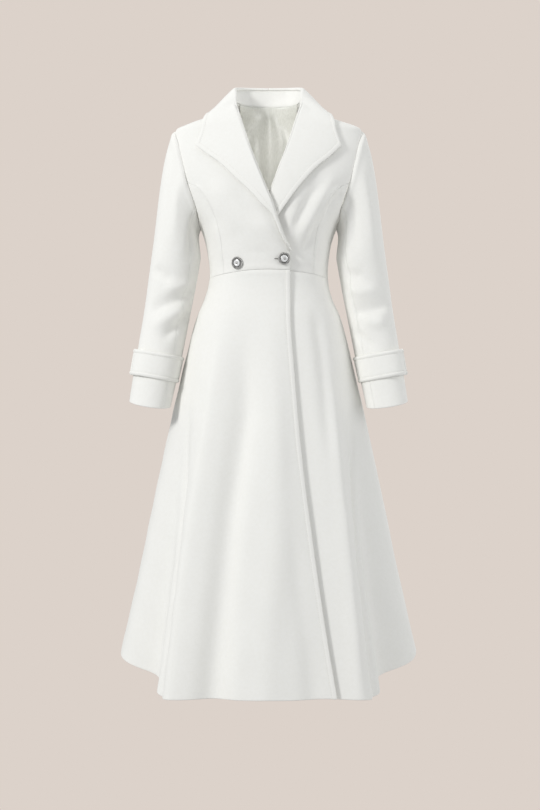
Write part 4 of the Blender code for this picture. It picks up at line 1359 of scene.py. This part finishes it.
def buttonSet(name, node, across, height):
    angle = frontAngle(across, height)
    foot = surface(angle, height)
    outward = bodyNormal(angle, np.array(height))
    sideways = unit(np.cross((0.0, 0.0, 1.0), outward))
    place = (foot, sideways, np.cross(outward, sideways), outward)
    stacks = [(turned(profile, place, count), metal) for profile, count, metal in buttonParts]
    stacks += [(beadRing(place, *row), 0) for row in buttonBeads]
    piece = stackedPiece(name, stacks, sides["right"], buttonMetals)
    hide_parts(node)


for spot in buttonSpots:
    buttonSet(*spot)
print("stage buttons done")

# stage: small pale floor below the picture, beige studio, soft lights
studio = {"backdrop": (0.716, 0.644, 0.591), "glow": (0.97, 0.985, 1.0), "strength": 0.535,
          "floorHeight": -1.62, "floorRadius": 0.6, "floorSides": 96}
world = bpy.data.worlds.new("studio")
bpy.context.scene.world = world
world.use_nodes = True
worldNodes, worldLinks = world.node_tree.nodes, world.node_tree.links
glow = worldNodes["Background"]
glow.inputs["Color"].default_value = (*studio["glow"], 1.0)
glow.inputs["Strength"].default_value = studio["strength"]
seen = worldNodes.new("ShaderNodeBackground")
seen.inputs["Color"].default_value = (*studio["backdrop"], 1.0)
rays = worldNodes.new("ShaderNodeLightPath")
either = worldNodes.new("ShaderNodeMixShader")
worldLinks.new(rays.outputs["Is Camera Ray"], either.inputs["Fac"])
worldLinks.new(glow.outputs["Background"], either.inputs[1])
worldLinks.new(seen.outputs["Background"], either.inputs[2])
worldLinks.new(either.outputs["Shader"], worldNodes["World Output"].inputs["Surface"])

turn = np.linspace(0, 2 * math.pi, studio["floorSides"], endpoint=False)
rim = np.stack((np.cos(turn), np.sin(turn), 0 * turn), axis=-1) * studio["floorRadius"]
rim[:, 2] = studio["floorHeight"]
floorLook = newMaterial("paleFloor")[0]
floorShader = floorLook.node_tree.nodes["Principled BSDF"]
setInputs(floorShader, {"Base Color": (*studio["backdrop"], 1.0), "Roughness": 0.9})
floor = meshObject("floor", rim, [list(range(studio["floorSides"]))], floorLook)
floor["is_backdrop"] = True

# lamps: place, target, size, power
lamps = {
    "key": ((-3.6, -3.2, 1.80), (0.0, 0.0, -0.60), 1.1, 150.0),
    "fill": ((2.9, -1.2, 0.1), (0.0, 0.0, -0.4), 1.8, 25.0),
    "top": ((0.0, 0.4, 2.2), (0.0, 0.0, -0.3), 1.6, 10.0),
    "back": ((1.1, 2.7, 0.6), (0.0, 0.0, -0.6), 1.6, 22.0),
    "inside": ((0.028, -0.045, -0.095), (-0.005, 0.090, -0.105), 0.04, 0.085),
}


def aim(thing, place, target):
    thing.location = place
    thing.rotation_mode = "QUATERNION"
    thing.rotation_quaternion = (Vector(target) - Vector(place)).to_track_quat("-Z", "Y")


for name, (place, target, size, power) in lamps.items():
    light = bpy.data.lights.new(name, "AREA")
    light.shape = "DISK"
    light.size = size
    light.energy = power
    lamp = bpy.data.objects.new(name, light)
    bpy.context.scene.collection.objects.link(lamp)
    aim(lamp, place, target)
    lamp.visible_camera = False
    lamp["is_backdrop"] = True

view = {"distance": 3.0, "height": -0.609, "across": 0.003, "lens": 65.04, "sensor": 36.0}
camera = bpy.data.objects.new("camera", bpy.data.cameras.new("camera"))
bpy.context.scene.collection.objects.link(camera)
camera.data.lens = view["lens"]
camera.data.sensor_width = view["sensor"]
aim(camera, (view["across"], -view["distance"], view["height"]), (view["across"], 0.0, view["height"]))
bpy.context.scene.camera = camera
bpy.context.scene.view_settings.view_transform = "Standard"

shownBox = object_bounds()
for name, box in (("cad", cadBox), ("visual", shownBox)):
    print(name, [round(b - a, 4) for a, b in zip(*box)])
